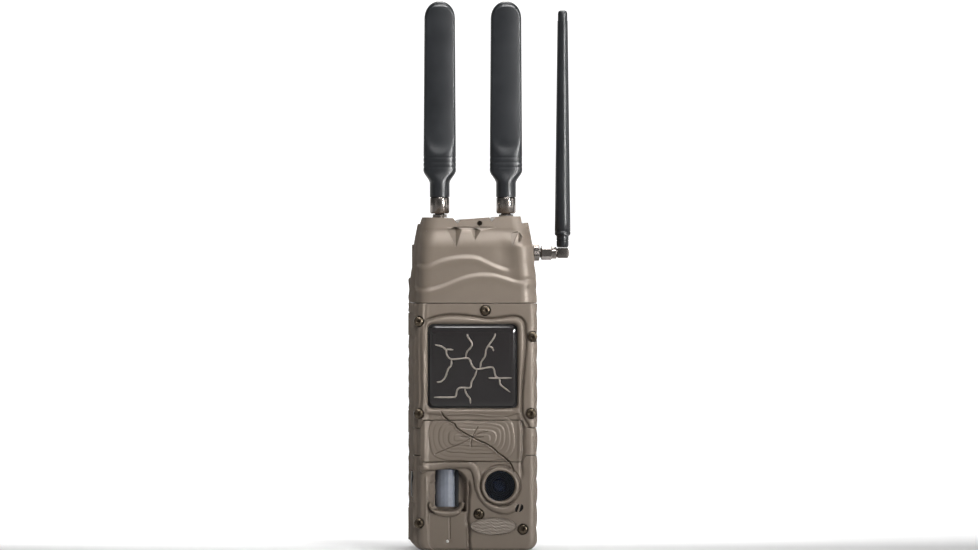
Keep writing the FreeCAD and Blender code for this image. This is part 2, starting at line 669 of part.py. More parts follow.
def panel_pieces():
    keep(box("-25.8", "5.8", "panel_back + 1", "panel_face - 0.2", "164.2", "179.8"), "display")
    for name, (x, z) in button_places().items():
        keep(rod("y", x, "panel_back - 1.5", z, "key_radius", "5.5"), name)
    knob = box("switch_x - 1", "switch_x + 1", "panel_back - 0.5", "panel_face + 1.6", "switch_z - 1.1",
               "switch_z + 1.1")
    shoe = box("switch_x - 2", "switch_x + 2", "panel_back - 1.6", "panel_back - 0.5", "switch_z - 1.7",
               "switch_z + 1.7")
    keep(fuse(knob, shoe), "mode_switch")
    case = card_box("1.4", "-1.5", "panel_back - 0.1", "1.1")
    slot = card_box("0.2", "-0.3", "panel_back + 1", "0.2")
    keep(cut(case, slot), "card_socket")
    keep(card_box("0", "1.4", "33.4", "0"), "memory_card")


def card_box(wider, front, back, thicker):
    """Block round the memory card, larger than it by a margin at each side, top and bottom."""
    half, rise = f"(card_half + {wider})", f"(card_thick / 2 + {thicker})"
    return box(f"card_x - {half}", f"card_x + {half}", front, back, f"card_z - {rise}", f"card_z + {rise}")


# ---- batteries ----

def batteries():
    middle = "(bay_left + bay_right) / 2"
    number = 0
    springs, plates = [], []
    for side in ("-0.5", "0.5"):
        x = f"{middle} + {side} * cell_pitch"
        for level in (0, 1):
            number += 1
            base = f"cell_base + {level} * (cell_tall + 0.2)"
            can = rod("z", x, "cell_y", base, "cell_radius", "cell_tall - button_rise")
            button = rod("z", x, "cell_y", f"{base} + cell_tall - button_rise", "cell_button", "button_rise")
            keep(fuse(can, button), f"battery_cell_{number}")
        coil = cone("z", x, "cell_y", "bay_low + plate_thick", "7", "4",
                    "cell_base - bay_low - plate_thick - seam")
        springs.append(coil)
        for low in ("bay_low", "cell_base + 2 * cell_tall + 0.4"):
            plates.append(box(f"{x} - plate_half", f"{x} + plate_half", "cell_y - plate_half",
                              "cell_y + plate_half", low, f"{low} + plate_thick"))
    keep(group(*springs, *plates), "battery_contacts")


# ---- door, hinge, latch ----

def rear_door():
    body = new_body("rear_door")
    outline = [("pin_x", "door_low"), ("body_half - 3", "door_low"), ("body_half", "door_low + 3"),
               ("body_half", "158"), ("body_half - 3.3", "door_high"), ("pin_x", "door_high")]
    pad(body, polygon(front_sketch(body, "door_front"), outline), "door_back - door_front", backwards=True)
    notches = front_sketch(body, "door_front")
    for low, high in HOUSING_KNUCKLES:
        rectangle(notches, "pin_x - 4", "pin_x + barrel_radius + 0.3", low - 0.3, high + 0.3)
    pocket(body, notches, "12")
    for low, high in DOOR_KNUCKLES:
        pad(body, circle(top_sketch(body, low), "pin_x", "pin_y", "barrel_radius"), high - low)
    hollow = rectangle(front_sketch(body, "door_front"), "-29", "31.4", "10", "180")
    pocket(body, hollow, "5.3")
    groove = front_sketch(body, "door_front")
    rectangle(groove, "seal_left", "seal_right", "seal_low", "seal_high")
    rectangle(groove, "seal_left + seal_wide", "seal_right - seal_wide", "seal_low + seal_wide",
              "seal_high - seal_wide")
    pocket(body, groove, "1.3")
    pocket(body, circle(top_sketch(body, 0), "pin_x", "pin_y", "bore_radius"), "151", backwards=True)
    for depth, left in (("36.5", "latch_x - latch_barrel - 0.3"), ("door_front", "latch_x + 0.4")):
        well = rectangle(front_sketch(body, depth), left, "body_half + 1", "latch_low - 0.3",
                         "latch_high + 0.3")
        pocket(body, well, "9")
    pin_hole = circle(top_sketch(body, "latch_low - 3.5"), "latch_x", "latch_y", "latch_bore")
    pocket(body, pin_hole, "latch_high - latch_low + 7", backwards=True)
    return keep(body, "rear_door")


def door_seal():
    ring = box("seal_left", "seal_right", "rear_y", "door_front + 1.3", "seal_low", "seal_high")
    hole = box("seal_left + seal_wide", "seal_right - seal_wide", "rear_y - 1", "door_front + 3",
               "seal_low + seal_wide", "seal_high - seal_wide")
    return keep(cut(ring, hole), "door_seal")


def latch():
    barrel = rod("z", "latch_x", "latch_y", "latch_low", "latch_barrel", "latch_high - latch_low")
    lever = box("latch_x + 0.6", "body_half - 0.1", "22", "latch_y", "latch_low", "latch_high")
    bore = rod("z", "latch_x", "latch_y", "latch_low - 1", "latch_bore", "latch_high - latch_low + 2")
    return keep(cut(fuse(barrel, lever), bore), "latch")


def pins():
    keep(rod("z", "pin_x", "pin_y", "4.5", "pin_radius", "144.5"), "hinge_pin")
    keep(rod("z", "latch_x", "latch_y", "latch_low - 3", "latch_pin", "latch_high - latch_low + 6"),
         "latch_pin")


# ---- bracket, tripod insert, power jack ----

def tree_bracket():
    """Moulded bridge on the door's back: two strap tunnels, three feet, and a row of teeth each side."""
    body = new_body("tree_bracket")
    foot, top, low, high = "door_back", "strap_floor", "28", "160"
    comb = [(foot, low), ("bracket_deep", low), ("bracket_deep", high), (foot, high)]
    for tunnel_low, tunnel_high in TUNNELS:
        comb += [(foot, tunnel_high), (top, tunnel_high), (top, tunnel_low), (foot, tunnel_low)]
    pad(body, polygon(side_sketch(body, "-bracket_half"), comb), "bracket_half * 2")
    tooth_count, tooth_pitch, start = 16, 8, 30
    saw = [("bracket_deep - 1", start)]
    for tooth in range(tooth_count):
        base = start + tooth * tooth_pitch
        saw += [("bracket_deep", base), ("bracket_deep + tooth_rise", base + tooth_pitch / 2)]
    end = start + tooth_count * tooth_pitch
    saw += [("bracket_deep", end), ("bracket_deep - 1", end)]
    for x in ("-bracket_half", "bracket_half - rail"):
        pad(body, polygon(side_sketch(body, x), saw), "rail")
    for z in BRACKET_SCREWS:
        pocket(body, circle(front_sketch(body, "bracket_deep - 2"), "0", z, "3.4"), "5")
    return keep(body, "tree_bracket")


def bracket_screws():
    pieces = []
    for z in BRACKET_SCREWS:
        pieces.append(rod("y", "0", "bracket_deep - 2", z, "3.1", "1.8"))
    return keep(group(*pieces), "bracket_screws")


def tripod_insert():
    sleeve = rod("z", "0", "0", "0", "insert_radius", "insert_high")
    hole = rod("z", "0", "0", "-1", "socket_radius", "socket_deep + 1")
    return keep(cut(sleeve, hole), "tripod_insert")


def power_jack():
    case = box("-body_half + side_wall", "-27", "jack_y - jack_half", "jack_y + 3.4", "jack_z - jack_half",
               "jack_z + jack_half")
    bore = rod("x", "-38", "jack_y", "jack_z", "2.75", "9")
    keep(cut(case, bore), "dc_jack")
    flap = box("-body_half + 0.1", "-body_half + 1.4", "jack_y - flap_half", "jack_y + flap_half",
               "jack_z - flap_half", "jack_z + flap_half - 0.65")
    roll = rod("y", "-body_half + 0.75", "jack_y - flap_half", "jack_z + flap_half - 0.65", "0.65",
               "2 * flap_half")
    plug = rod("x", "-body_half + 1.3", "jack_y", "jack_z", "3.9", "1.4")
    keep(fuse(flap, roll, plug), "jack_cover")


def build_parts():
    for make in (main_housing, top_cap, flash_bezel, centre_band, lens_cover, face_screws, flash_window,
                 flash_gasket, window_branches, led_board, led_emitters, lens_stack, pir_lens, pir_sensor,
                 microphone, badge, status_light, boards, antenna_leads):
        make()
    top_antenna("left", "-1")
    top_antenna("right", "1")
    for make in (side_antenna, socket_nuts, control_panel, panel_pieces, batteries, rear_door,
                 door_seal, latch,
                 pins, tree_bracket, bracket_screws, tripod_insert, power_jack):
        make()


def check_and_write():
    """Stops if any object failed, then writes one file for each sub-part."""
    doc.recompute()
    for item in doc.Objects:
        if "Invalid" in item.State or "Error" in item.State:
            raise RuntimeError(f"{item.Label} failed: {item.State}")
    for piece in parts:
        if piece.Shape.isNull() or not piece.Shape.isValid():
            raise RuntimeError(f"{piece.Label} has no valid shape")
    os.makedirs("parts", exist_ok=True)
    for piece in parts:
        piece.Shape.exportStep(f"parts/{piece.Label}.step")
        print(piece.Label, len(piece.Shape.Solids), round(piece.Shape.Volume, 1))
    print(len(parts), "sub-parts")


fill_sheet()
build_parts()
check_and_write()
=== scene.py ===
import math
from functools import cache

import bmesh
import bpy
import numpy as np
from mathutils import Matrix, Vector


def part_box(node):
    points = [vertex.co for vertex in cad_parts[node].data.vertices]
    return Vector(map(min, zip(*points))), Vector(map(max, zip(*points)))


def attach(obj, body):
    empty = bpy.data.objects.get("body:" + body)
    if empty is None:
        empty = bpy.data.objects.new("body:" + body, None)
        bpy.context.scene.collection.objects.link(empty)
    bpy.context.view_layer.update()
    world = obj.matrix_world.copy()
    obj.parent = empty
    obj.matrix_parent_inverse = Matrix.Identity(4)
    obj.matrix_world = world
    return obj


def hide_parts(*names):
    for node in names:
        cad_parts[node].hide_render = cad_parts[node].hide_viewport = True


# Trail camera. The frame is in metres; this script works in millimetres, and mesh_object turns them into
# metres. The front faces -Y, and +X is the side with the whip antenna.

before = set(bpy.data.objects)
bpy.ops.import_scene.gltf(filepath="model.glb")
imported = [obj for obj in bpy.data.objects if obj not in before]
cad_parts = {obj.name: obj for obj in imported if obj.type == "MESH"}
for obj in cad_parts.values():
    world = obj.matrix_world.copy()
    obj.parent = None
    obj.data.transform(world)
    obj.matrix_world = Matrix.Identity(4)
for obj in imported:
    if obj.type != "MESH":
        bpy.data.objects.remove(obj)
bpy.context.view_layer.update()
MM = 0.001


def box_of(node):
    """Lowest and highest corner of a CAD node, in millimetres."""
    low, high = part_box(node)
    return np.array(low) / MM, np.array(high) / MM


HOUSING_HIGH = box_of("main_housing")[1]
COVER_LOW, COVER_HIGH = box_of("lens_cover")
BAND_LOW, BAND_HIGH = box_of("centre_band")
CAP_LOW, CAP_HIGH = box_of("top_cap")
LENS_LOW, LENS_HIGH = box_of("lens_window")
PIR_LOW, PIR_HIGH = box_of("pir_lens")
HALF = HOUSING_HIGH[0]
BACK_Y = COVER_HIGH[1]
FRONT_Y = COVER_LOW[1] + 0.6
LENS_X, LENS_Z = (LENS_LOW[0] + LENS_HIGH[0]) / 2, (LENS_LOW[2] + LENS_HIGH[2]) / 2
LENS_R = (LENS_HIGH[0] - LENS_LOW[0]) / 2 + 0.1
PIR_X = (PIR_LOW[0] + PIR_HIGH[0]) / 2
SEAM = 0.2

# Small features of the front, as x and z.
SCREWS = [(-34.7, 139.4), (5.9, 146.1), (34.7, 130.2), (-34.7, 83.3), (33.7, 83.4),
          (-34.6, 16.8), (2, 22.3), (28.8, 13.1)]
SCREW_R = 3.0
PANE_X = (-29.1, 25.5)
PANE_Z = (86.6, 137.7)
PANE_GAP = 1.0
PANE_CORNER = 3.2
BADGE_X, BADGE_Z = 11, 15
LIGHT_X, LIGHT_Z = -17, 5.8
MIC_X, MIC_Z = 26.5, 25.9

# Antennas: the two paddles stand at +-SOCKET_X, and the whip turns on an axis at SIDE_Z.
SOCKET_X, ANTENNA_Y, SIDE_Z = 20.3, -4, 181

# Door hinge: its pin, its barrels and the heights of its knuckles.
PIN_X, PIN_Y, BARREL_R = -35.6, 36.8, 2.4
HOUSING_KNUCKLES = [(4, 24), (70, 84), (130, 144)]
DOOR_KNUCKLES = [(24.3, 69.7), (84.3, 129.7), (144.3, 165.6)]

# The latch and its well share one height.
LATCH_LOW, LATCH_HIGH = 72, 88


def step_size(full):
    return full


GRID = step_size(0.32)


# ---------- small maths ----------

def smooth(t):
    """Soft step from 0 to 1."""
    t = np.clip(t, 0, 1)
    return t * t * (3 - 2 * t)


def full_turn(steps):
    """Angles once round, without the last one that would repeat the first."""
    return np.linspace(0, 2 * math.pi, steps, endpoint=False)


def hump(distance, width):
    """Bell curve: 1 at no distance, and almost 0 beyond two widths."""
    return np.exp(-(distance / width) ** 2)


def spline(points, steps=8):
    """Smooth line through given points."""
    p = np.array([points[0], *points, points[-1]], float)
    line = []
    for i in range(1, len(p) - 2):
        for t in np.linspace(0, 1, steps, endpoint=False):
            a, b, c, d = p[i - 1], p[i], p[i + 1], p[i + 2]
            line.append(0.5 * (2 * b + (c - a) * t + (2 * a - 5 * b + 4 * c - d) * t ** 2
                               + (3 * b - 3 * c + d - a) * t ** 3))
    line.append(p[-2])
    return np.array(line)


def away(x, z, line):
    """Distance from each point to a line of points."""
    best = np.full(np.shape(x), 1e9)
    for (ax, az), (bx, bz) in zip(line[:-1], line[1:]):
        ux, uz = bx - ax, bz - az
        size = ux * ux + uz * uz + 1e-12
        t = np.clip(((x - ax) * ux + (z - az) * uz) / size, 0, 1)
        best = np.minimum(best, np.hypot(x - ax - t * ux, z - az - t * uz))
    return best


def within(x, z, line):
    """True for points inside a closed outline."""
    hit = np.zeros(np.shape(x), bool)
    for (ax, az), (bx, bz) in zip(line, np.roll(line, -1, axis=0)):
        crosses = (az > z) != (bz > z)
        span = np.where(bz == az, 1e-9, bz - az)
        hit ^= crosses & (x < (bx - ax) * (z - az) / span + ax)
    return hit


def inset(x, z, line):
    """Distance inside a closed outline, negative outside."""
    closed = np.vstack([line, line[:1]])
    return np.where(within(x, z, line), 1, -1) * away(x, z, closed)


def wave_height(x, points):
    """Height at x of the smooth line through points."""
    line = spline(points)
    return np.interp(x, line[:, 0], line[:, 1])


def rough(a, b, seed):
    """Smooth noise from a few turned sine waves; the same every run."""
    total = 0
    for k in range(4):
        turn = 0.9 + 1.7 * k + seed
        size = 1.0 + 0.83 * k
        total = total + np.sin(size * (a * math.cos(turn) + b * math.sin(turn)) + 2.1 * k + seed) / size
    return total / 2.2


# ---------- meshes ----------

def mesh_object(name, points, faces):
    """Object from points in millimetres, its loose doubles merged and its faces turned outwards."""
    mesh = bpy.data.meshes.new(name)
    mesh.from_pydata([tuple(p) for p in np.asarray(points, float) * MM], [], [list(f) for f in faces])
    mesh.validate()
    tidy = bmesh.new()
    tidy.from_mesh(mesh)
    bmesh.ops.remove_doubles(tidy, verts=tidy.verts, dist=1e-7)
    bmesh.ops.recalc_face_normals(tidy, faces=tidy.faces)
    tidy.to_mesh(mesh)
    tidy.free()
    piece = bpy.data.objects.new(name, mesh)
    bpy.context.collection.objects.link(piece)
    mesh.polygons.foreach_set("use_smooth", [True] * len(mesh.polygons))
    return piece


def sharpen(piece, degrees=35):
    """Smooth shading with edges over an angle kept sharp."""
    bpy.context.view_layer.objects.active = piece
    piece.select_set(True)
    bpy.ops.object.shade_smooth_by_angle(angle=math.radians(degrees))
    piece.select_set(False)
    return piece


def apply(piece, kind, **settings):
    """Adds a modifier with its settings and applies it."""
    modifier = piece.modifiers.new("work", kind)
    for key, value in settings.items():
        setattr(modifier, key, value)
    bpy.context.view_layer.objects.active = piece
    bpy.ops.object.modifier_apply(modifier=modifier.name)
    return piece


def join(pieces, name):
    """Makes one object of several."""
    bpy.ops.object.select_all(action="DESELECT")
    for piece in pieces:
        piece.select_set(True)
    bpy.context.view_layer.objects.active = pieces[0]
    bpy.ops.object.join()
    joined = bpy.context.view_layer.objects.active
    joined.name = name
    joined.data.name = name
    joined.select_set(False)
    return joined


def carve(piece, *cutters):
    """Takes closed cutters out of a closed piece."""
    tool = join(cutters, "tool") if len(cutters) > 1 else cutters[0]
    apply(piece, "BOOLEAN", operation="DIFFERENCE", solver="EXACT", use_self=len(cutters) > 1, object=tool)
    bpy.data.objects.remove(tool, do_unlink=True)
    return piece


def loft(name, loops):
    """Closed skin over a stack of loops with the same number of points."""
    loops = np.asarray(loops, float)
    levels, count = loops.shape[:2]
    points = loops.reshape(-1, 3)
    faces = []
    for j in range(levels - 1):
        for i in range(count):
            k = (i + 1) % count
            faces.append((j * count + i, j * count + k, (j + 1) * count + k, (j + 1) * count + i))
    faces.append(tuple(range(count))[::-1])
    faces.append(tuple((levels - 1) * count + i for i in range(count)))
    return mesh_object(name, points, faces)


AXES = {"x": (1, 2, 0), "y": (0, 2, 1), "z": (0, 1, 2)}


def lathe(name, axis, centre, profile, steps=64, lobes=None):
    """Turned piece: profile points are (place along the axis, radius). lobes shapes the radius by angle."""
    u, v, w = AXES[axis]
    loops = []
    angles = full_turn(steps)
    for place, radius in profile:
        loop = np.zeros((steps, 3))
        r = radius * (lobes(angles) if lobes else 1)
        loop[:, u] = centre[0] + r * np.cos(angles)
        loop[:, v] = centre[1] + r * np.sin(angles)
        loop[:, w] = place
        loops.append(loop)
    return loft(name, loops)


def round_edges(piece, width):
    """Bevels every edge sharper than 30 degrees."""
    apply(piece, "BEVEL", width=width * MM, segments=3, limit_method="ANGLE", angle_limit=math.radians(30))


def prism(name, axis, outline, low, high, bevel=0.0):
    """Straight piece with an outline across an axis and an optional rounded edge."""
    u, v, w = AXES[axis]
    outline = np.asarray(outline, float)
    loops = []
    for place in (low, high):
        loop = np.zeros((len(outline), 3))
        loop[:, u] = outline[:, 0]
        loop[:, v] = outline[:, 1]
        loop[:, w] = place
        loops.append(loop)
    piece = loft(name, loops)
    if bevel:
        round_edges(piece, bevel)
    return sharpen(piece)


def round_rect(a_low, a_high, b_low, b_high, radius, steps=6):
    """Outline of a rectangle with round corners."""
    radius = min(radius, (a_high - a_low) / 2 - 1e-3, (b_high - b_low) / 2 - 1e-3)
    points = []
    corners = [(a_high - radius, b_high - radius, 0), (a_low + radius, b_high - radius, 90),
               (a_low + radius, b_low + radius, 180), (a_high - radius, b_low + radius, 270)]
    for a, b, start in corners:
        for turn in np.radians(np.linspace(start, start + 90, steps)):
            points.append((a + radius * math.cos(turn), b + radius * math.sin(turn)))
    return points


def block(name, low, high, bevel, radius=1.0, axis="y"):
    """Rounded box between two corners; its outline is rounded across one axis."""
    u, v, w = AXES[axis]
    outline = round_rect(low[u], high[u], low[v], high[v], radius)
    return prism(name, axis, outline, low[w], high[w], bevel)


def rod(name, axis, centre, radius, low, high, steps=48):
    """Plain round bar, mostly used to cut holes."""
    return lathe(name, axis, centre, [(low, radius), (high, radius)], steps)


# ---------- relief of the front and the sides ----------

BARK_DEPTH = 1.1


def bark(y, z):
    """Chopped-bark relief of the sides: shallow scallops with sharp crests, inward only."""
    bend = z + 2.6 * rough(y * 0.09, z * 0.05, 1)
    scallop = np.abs(np.sin(math.pi * bend / 14.5)) ** 0.7
    groove = np.abs(np.sin(math.pi * (y + 3.2 * rough(y * 0.05, z * 0.07, 4)) / 11.0)) ** 0.5
    fine = 0.12 * rough(y * 0.9, z * 0.35, 7)
    return -BARK_DEPTH * (0.62 * (1 - scallop) + 0.38 * (1 - groove)) + fine - 0.12


# Outline of the raised frame round the flash window, as x and z.
FRAME_TOP = [(-33.4, 133), (-30.9, 139), (-26.4, 141.5), (-20.1, 142.9), (-14.6, 143.4), (-7, 143),
             (0, 142.1), (5.5, 141.3), (11, 141.2), (16, 141.8), (21.5, 142.5), (25, 142.3), (27.7, 141.1),
             (29.8, 138.3), (30.2, 134)]
FRAME_SIDES = [(30.5, 124), (29.4, 111), (28.3, 97), (28.1, 84), (28.1, 70), (-33.2, 70), (-33.4, 90),
               (-33.6, 110), (-33.6, 124)]
FRAME_OUTLINE = spline(FRAME_TOP + FRAME_SIDES + FRAME_TOP[:1], 6)[:-1]

# Middle of the growth rings, and the reach and drop of each terrace.
RING_X, RING_Z = -2.3, 68.8
RINGS = [(2.0, 0.22), (4.7, 0.42), (7.0, 0.12), (9.2, 0.42), (11.8, 0.12), (14.2, 0.42)]
# The crack that runs from the bezel across the band into the lens cover.
CRACK = np.array([(-21.2, 84.8), (-19.4, 81.8), (-15.4, 78.6), (-12.8, 77.2), (-11.6, 74.8),
                  (-7.6, 72.0), (-5.0, 70.6), (-2.3, 69.2), (-0.6, 68.2), (4.4, 66.0), (7.2, 64.6),
                  (10.6, 62.4), (13.4, 59.6), (17.0, 57.2), (20.8, 54.0), (22.6, 50.2), (23.4, 47.6)])
# Short cracks that start in the middle of the rings.
SIDE_CRACKS = [[(RING_X, RING_Z), *rest] for rest in (
    [(1.2, 75.2)], [(2.6, 71.6), (7, 72.6)], [(-3, 63.4)], [(-9, 69.3)],
    [(-8, 65.6), (-16, 62.6), (-24.5, 58.8)], [(4.4, 69.2)])]


def left_fall(x):
    """The left edge of the front turns away before the corner does."""
    return -1.9 * smooth((-31.2 - x) / 6.2)


def growth_rings(x, z):
    """Low terraces that step down away from the middle of the band, like a sawn log."""
    dx = (x - RING_X) + 1.0 * rough(x * 0.16, z * 0.2, 3)
    dz = (z - RING_Z) + 0.8 * rough(x * 0.2, z * 0.17, 5)
    wide = np.maximum(np.abs(dx) - 8, 0) / 1.25
    reach = (wide ** 3.2 + np.abs(dz) ** 3.2) ** (1 / 3.2)
    total = 0.9
    for place, drop in RINGS:
        total = total - drop * smooth((reach - place) / 0.5 + 0.5)
        total = total - 0.08 * hump(reach - place - 0.5, 0.35)
    inside_band = smooth((x + 30.5) / 2.5) * smooth((27.4 - x) / 2.5)
    return total * inside_band


def cracks(x, z):
    """The long crack with a lip along its lower edge, and the short ones beside it."""
    main = away(x, z, CRACK)
    side = np.full(np.shape(x), 1e9)
    for line in SIDE_CRACKS:
        side = np.minimum(side, away(x, z, line))
    below = z < np.interp(x, CRACK[:, 0], CRACK[:, 1])
    lip = 0.4 * hump(main - 0.75, 0.4) * np.where(below, 1, 0.1)
    return -1.2 * hump(main, 0.36) + lip - 0.6 * hump(side, 0.3)


def valley(x, z, x_mid, width, depth, z_low=-99, z_high=999, fade=6):
    """Upright groove with a slightly wandering line."""
    bend = x_mid + 0.35 * np.sin(z * 0.21) + 0.2 * np.sin(z * 0.53 + 1)
    span = smooth((z - z_low) / fade) * smooth((z_high - z) / fade)
    return -depth * hump(x - bend, width) * span


# Lower edge of the raised frame.
BEZEL_RIM = [(-36, 84.2), (-28, 84.0), (-16, 83.0), (-4, 83.4), (6, 82.6), (18, 82.3), (26, 84.0), (36, 84)]


def bezel_relief(x, z):
    """Raised frame with a rolled lip round the pane, on the upper cover."""
    depth = inset(x, z, FRAME_OUTLINE)
    open_left = smooth((x + 32.5) / 5)
    groove = -1.15 * hump(depth, 0.85) * (0.08 + 0.92 * open_left)
    crest = 0.75 * smooth(depth / 2.6)
    pane = round_rect(*PANE_X, *PANE_Z, PANE_CORNER)
    outside = np.maximum(-inset(x, z, np.array(pane)), 0)
    lip = -2.6 * (1 - np.sqrt(1 - np.clip(1 - outside / 2.4, 0, 1) ** 2))
    grain = 0.22 * np.sin(x * 2.1 + 0.9 * np.sin(z * 0.11) + 0.5 * np.sin(z * 0.31)) * hump(x + 32, 2.8)
    rim = wave_height(x, BEZEL_RIM)
    shelf = -0.75 * smooth((rim - z) / 1.1) * smooth((x + 31) / 2) * smooth((28 - x) / 2)
    low = smooth((86 - z) / 4)
    border = 0.35 * smooth(-depth / 1.5)
    return (groove + crest + lip + grain + shelf + border + left_fall(x)
            + (growth_rings(x, z) * 0.75 + cracks(x, z)) * low)


def band_relief(x, z):
    """Growth rings and cracks across the middle cover."""
    crest = 0.35 * hump(x + 31.0, 0.8)
    return (growth_rings(x, z) + cracks(x, z) + valley(x, z, 28.4, 1.0, 1.2) + left_fall(x) + crest
            + 0.3 * smooth((x - 29.6) / 2))


# Motion sensor alcove: an arch over a channel that runs to the bottom edge.
ARCH_X, ARCH_HALF, ARCH_Z, ARCH_RISE = -16.9, 12.2, 41.5, 9.2
# Raised line over the alcove and under the lens.
RIDGE = spline([(-32.4, 50.2), (-29, 51.2), (-24, 51.4), (-18, 52.4), (-11, 52.9), (-5, 52.7),
                (-1.1, 50.4), (1.1, 44.7), (2.0, 38.5), (5.1, 31.7), (9.8, 27.4), (15.4, 25.1),
                (20, 25.0), (23.4, 26.6)], 6)
# Sagging lip under the motion sensor.
LIP = spline([(-28.3, 28.6), (-27.0, 25.8), (-24.0, 23.7), (-18.4, 22.7), (-12.6, 23.2), (-9.4, 25.2),
              (-7.6, 28.4)], 6)


def arch_inset(x, z):
    """Distance inside the arch, negative outside."""
    across = ARCH_HALF - np.abs(x - ARCH_X)
    round_part = np.sqrt(((x - ARCH_X) / ARCH_HALF) ** 2 + ((z - ARCH_Z) / ARCH_RISE) ** 2)
    return np.where(z > ARCH_Z, (1 - round_part) * ARCH_RISE, across)


def alcove(x, z):
    """Deep recess round the motion sensor, closed below by a lip, over a shallow channel."""
    depth = arch_inset(x, z)
    steep = np.where(x > ARCH_X, 2.6, 5.2)
    deep = -5.2 * smooth((depth + 0.2) / steep)
    shallow = -1.3 * smooth((depth + 0.2) / 1.4)
    lower = smooth((24.6 - z) / 1.6)
    lip_distance = away(x, z, LIP)
    girth = 1.95 - 0.9 * np.abs((x - ARCH_X - 0.8) / 10.5) ** 2
    ledge = (5.0 * (1 - lower) + 1.5 * lower) * np.sqrt(np.clip(1 - (lip_distance / girth) ** 2, 0, 1))
    return deep * (1 - lower) + shallow * lower + ledge * smooth((depth - 0.2) / 1.2)


def lens_relief(x, z):
    """Lens ring and its moat, the ridge, the alcove and the edges of the lower cover."""
    beyond = np.hypot(x - LENS_X, z - LENS_Z) - LENS_R
    ring = 1.5 * np.sqrt(np.clip(1 - ((beyond - 1.2) / 1.25) ** 2, 0, 1))
    moat = -0.75 * hump(beyond - 3.2, 0.6)
    ridge = 1.7 * np.sqrt(np.clip(1 - (away(x, z, RIDGE) / 2.5) ** 2, 0, 1)) * smooth((beyond - 2.6) / 0.8)
    dark_edge = valley(x, z, ARCH_X + ARCH_HALF + 0.4, 0.95, 1.9, -9, 44, 4)
    left_edge = 0.55 * hump(x - ARCH_X + ARCH_HALF + 1, 0.7) * smooth((47 - z) / 4) * smooth((z - 12) / 6)
    seam_line = -0.6 * hump(x + 15.6, 0.34) * smooth((z - 6.5) / 1) * smooth((20.6 - z) / 1)
    dot = -0.5 * hump(np.hypot(x - LIGHT_X, z - LIGHT_Z), 1.5)
    right = valley(x, z, 28.0, 1.0, 1.2, 42, 99, 7)
    low = smooth((z - 46) / 5)
    nick = 1.0 * hump(np.hypot(x + 30.6, z - 50.2), 1.3)
    rings = growth_rings(x, z) * 0.8 + cracks(x, z) * smooth((x - 12) / 4)
    return (ring + moat + np.maximum(ridge, 0) + alcove(x, z) + dark_edge + left_edge + seam_line + dot
            + right + nick + left_fall(x) + rings * low)


# ---------- front covers ----------

CORNER_R = 5.5
FOOT_R = 2.5
TALLEST = 2.1


def u_path(half):
    """Path round the front: left wall, corner, face, corner, right wall. Gives x, y and the normal."""
    wall = np.arange(BACK_Y, FRONT_Y + CORNER_R, -1.6)
    turns = np.radians(np.linspace(0, 90, 14))
    left = [(-half, y, -1, 0) for y in wall]
    left += [(-half + CORNER_R * (1 - math.cos(t)), FRONT_Y + CORNER_R * (1 - math.sin(t)), -math.cos(t),
              -math.sin(t)) for t in turns]
    count = int((2 * half - 2 * CORNER_R) / GRID)
    face = [(x, FRONT_Y, 0, -1) for x in np.linspace(-half + CORNER_R, half - CORNER_R, count)[1:-1]]
    right = [(-x, y, -nx, ny) for x, y, nx, ny in reversed(left)]
    return np.array(left + face + right)


def rounding(z, radius):
    """How far a rounded bottom edge has moved in at height z."""
    return radius - np.sqrt(np.maximum(radius ** 2 - np.clip(radius - z, 0, radius) ** 2, 0))


def wrap_cover(name, z_low, z_high, relief, corner=0):
    """Front cover as a closed block whose front and sides carry relief.

    z_low and z_high are functions of x; corner rounds the bottom of both sides.
    """
    path = u_path(HALF)
    x, y, nx, ny = path.T
    low, high = z_low(x), z_high(x)
    tall = float(np.max(high - low))
    inner = np.linspace(0, 1, int(tall / GRID))
    edge = np.array([0.12, 0.3, 0.6]) / tall
    steps = np.unique(np.concatenate([inner, edge, 1 - edge]))
    z = low[None, :] + (high - low)[None, :] * steps[:, None]
    xx, yy = np.repeat(x[None], len(steps), 0), np.repeat(y[None], len(steps), 0)
    front = smooth((-ny - 0.05) / 0.75)[None, :]
    rise = np.minimum(relief(xx, z), TALLEST) * front + bark(yy, z) * (1 - front)
    from_edge = np.minimum(z - low[None, :], high[None, :] - z)
    rise = rise - 0.3 * (1 - np.sqrt(1 - np.clip(1 - from_edge / 0.35, 0, 1) ** 2))
    px, py = xx + nx * rise, yy + ny * rise
    if corner:
        px = px * (1 - rounding(z, corner) / HALF)
        py = py + rounding(z, FOOT_R) * front
    grid = np.stack([px, py, z], -1)
    grid[:, 0, 1] = grid[:, -1, 1] = BACK_Y
    return close_block(name, grid, x)


def close_block(name, grid, x):
    """Closes a wrapped grid with a back face and two end faces that follow its steps."""
    levels, count = grid.shape[:2]
    points = list(grid.reshape(-1, 3))
    faces = [(j * count + i, j * count + i + 1, (j + 1) * count + i + 1, (j + 1) * count + i)
             for j in range(levels - 1) for i in range(count - 1)]
    left = int(np.argmax(x > -HALF + CORNER_R + 0.1))
    right = count - 1 - left
    rows = {}
    for end in (0, levels - 1):
        row = {}
        for i in range(left, right + 1):
            row[i] = len(points)
            points.append((grid[end, i, 0], BACK_Y, grid[end, i, 2]))
        base = end * count
        faces += [(base + i, base + i + 1, row[i + 1], row[i]) for i in range(left, right)]
        faces.append(tuple(base + i for i in range(left + 1)) + (row[left],))
        faces.append(tuple(base + i for i in range(right, count)) + (row[right],))
        rows[end] = row
    back = [j * count for j in range(levels)]
    back += [rows[levels - 1][i] for i in range(left, right + 1)]
    back += [j * count + count - 1 for j in range(levels - 1, -1, -1)]
    back += [rows[0][i] for i in range(right, left - 1, -1)]
    faces.append(tuple(back))
    return mesh_object(name, points, faces)


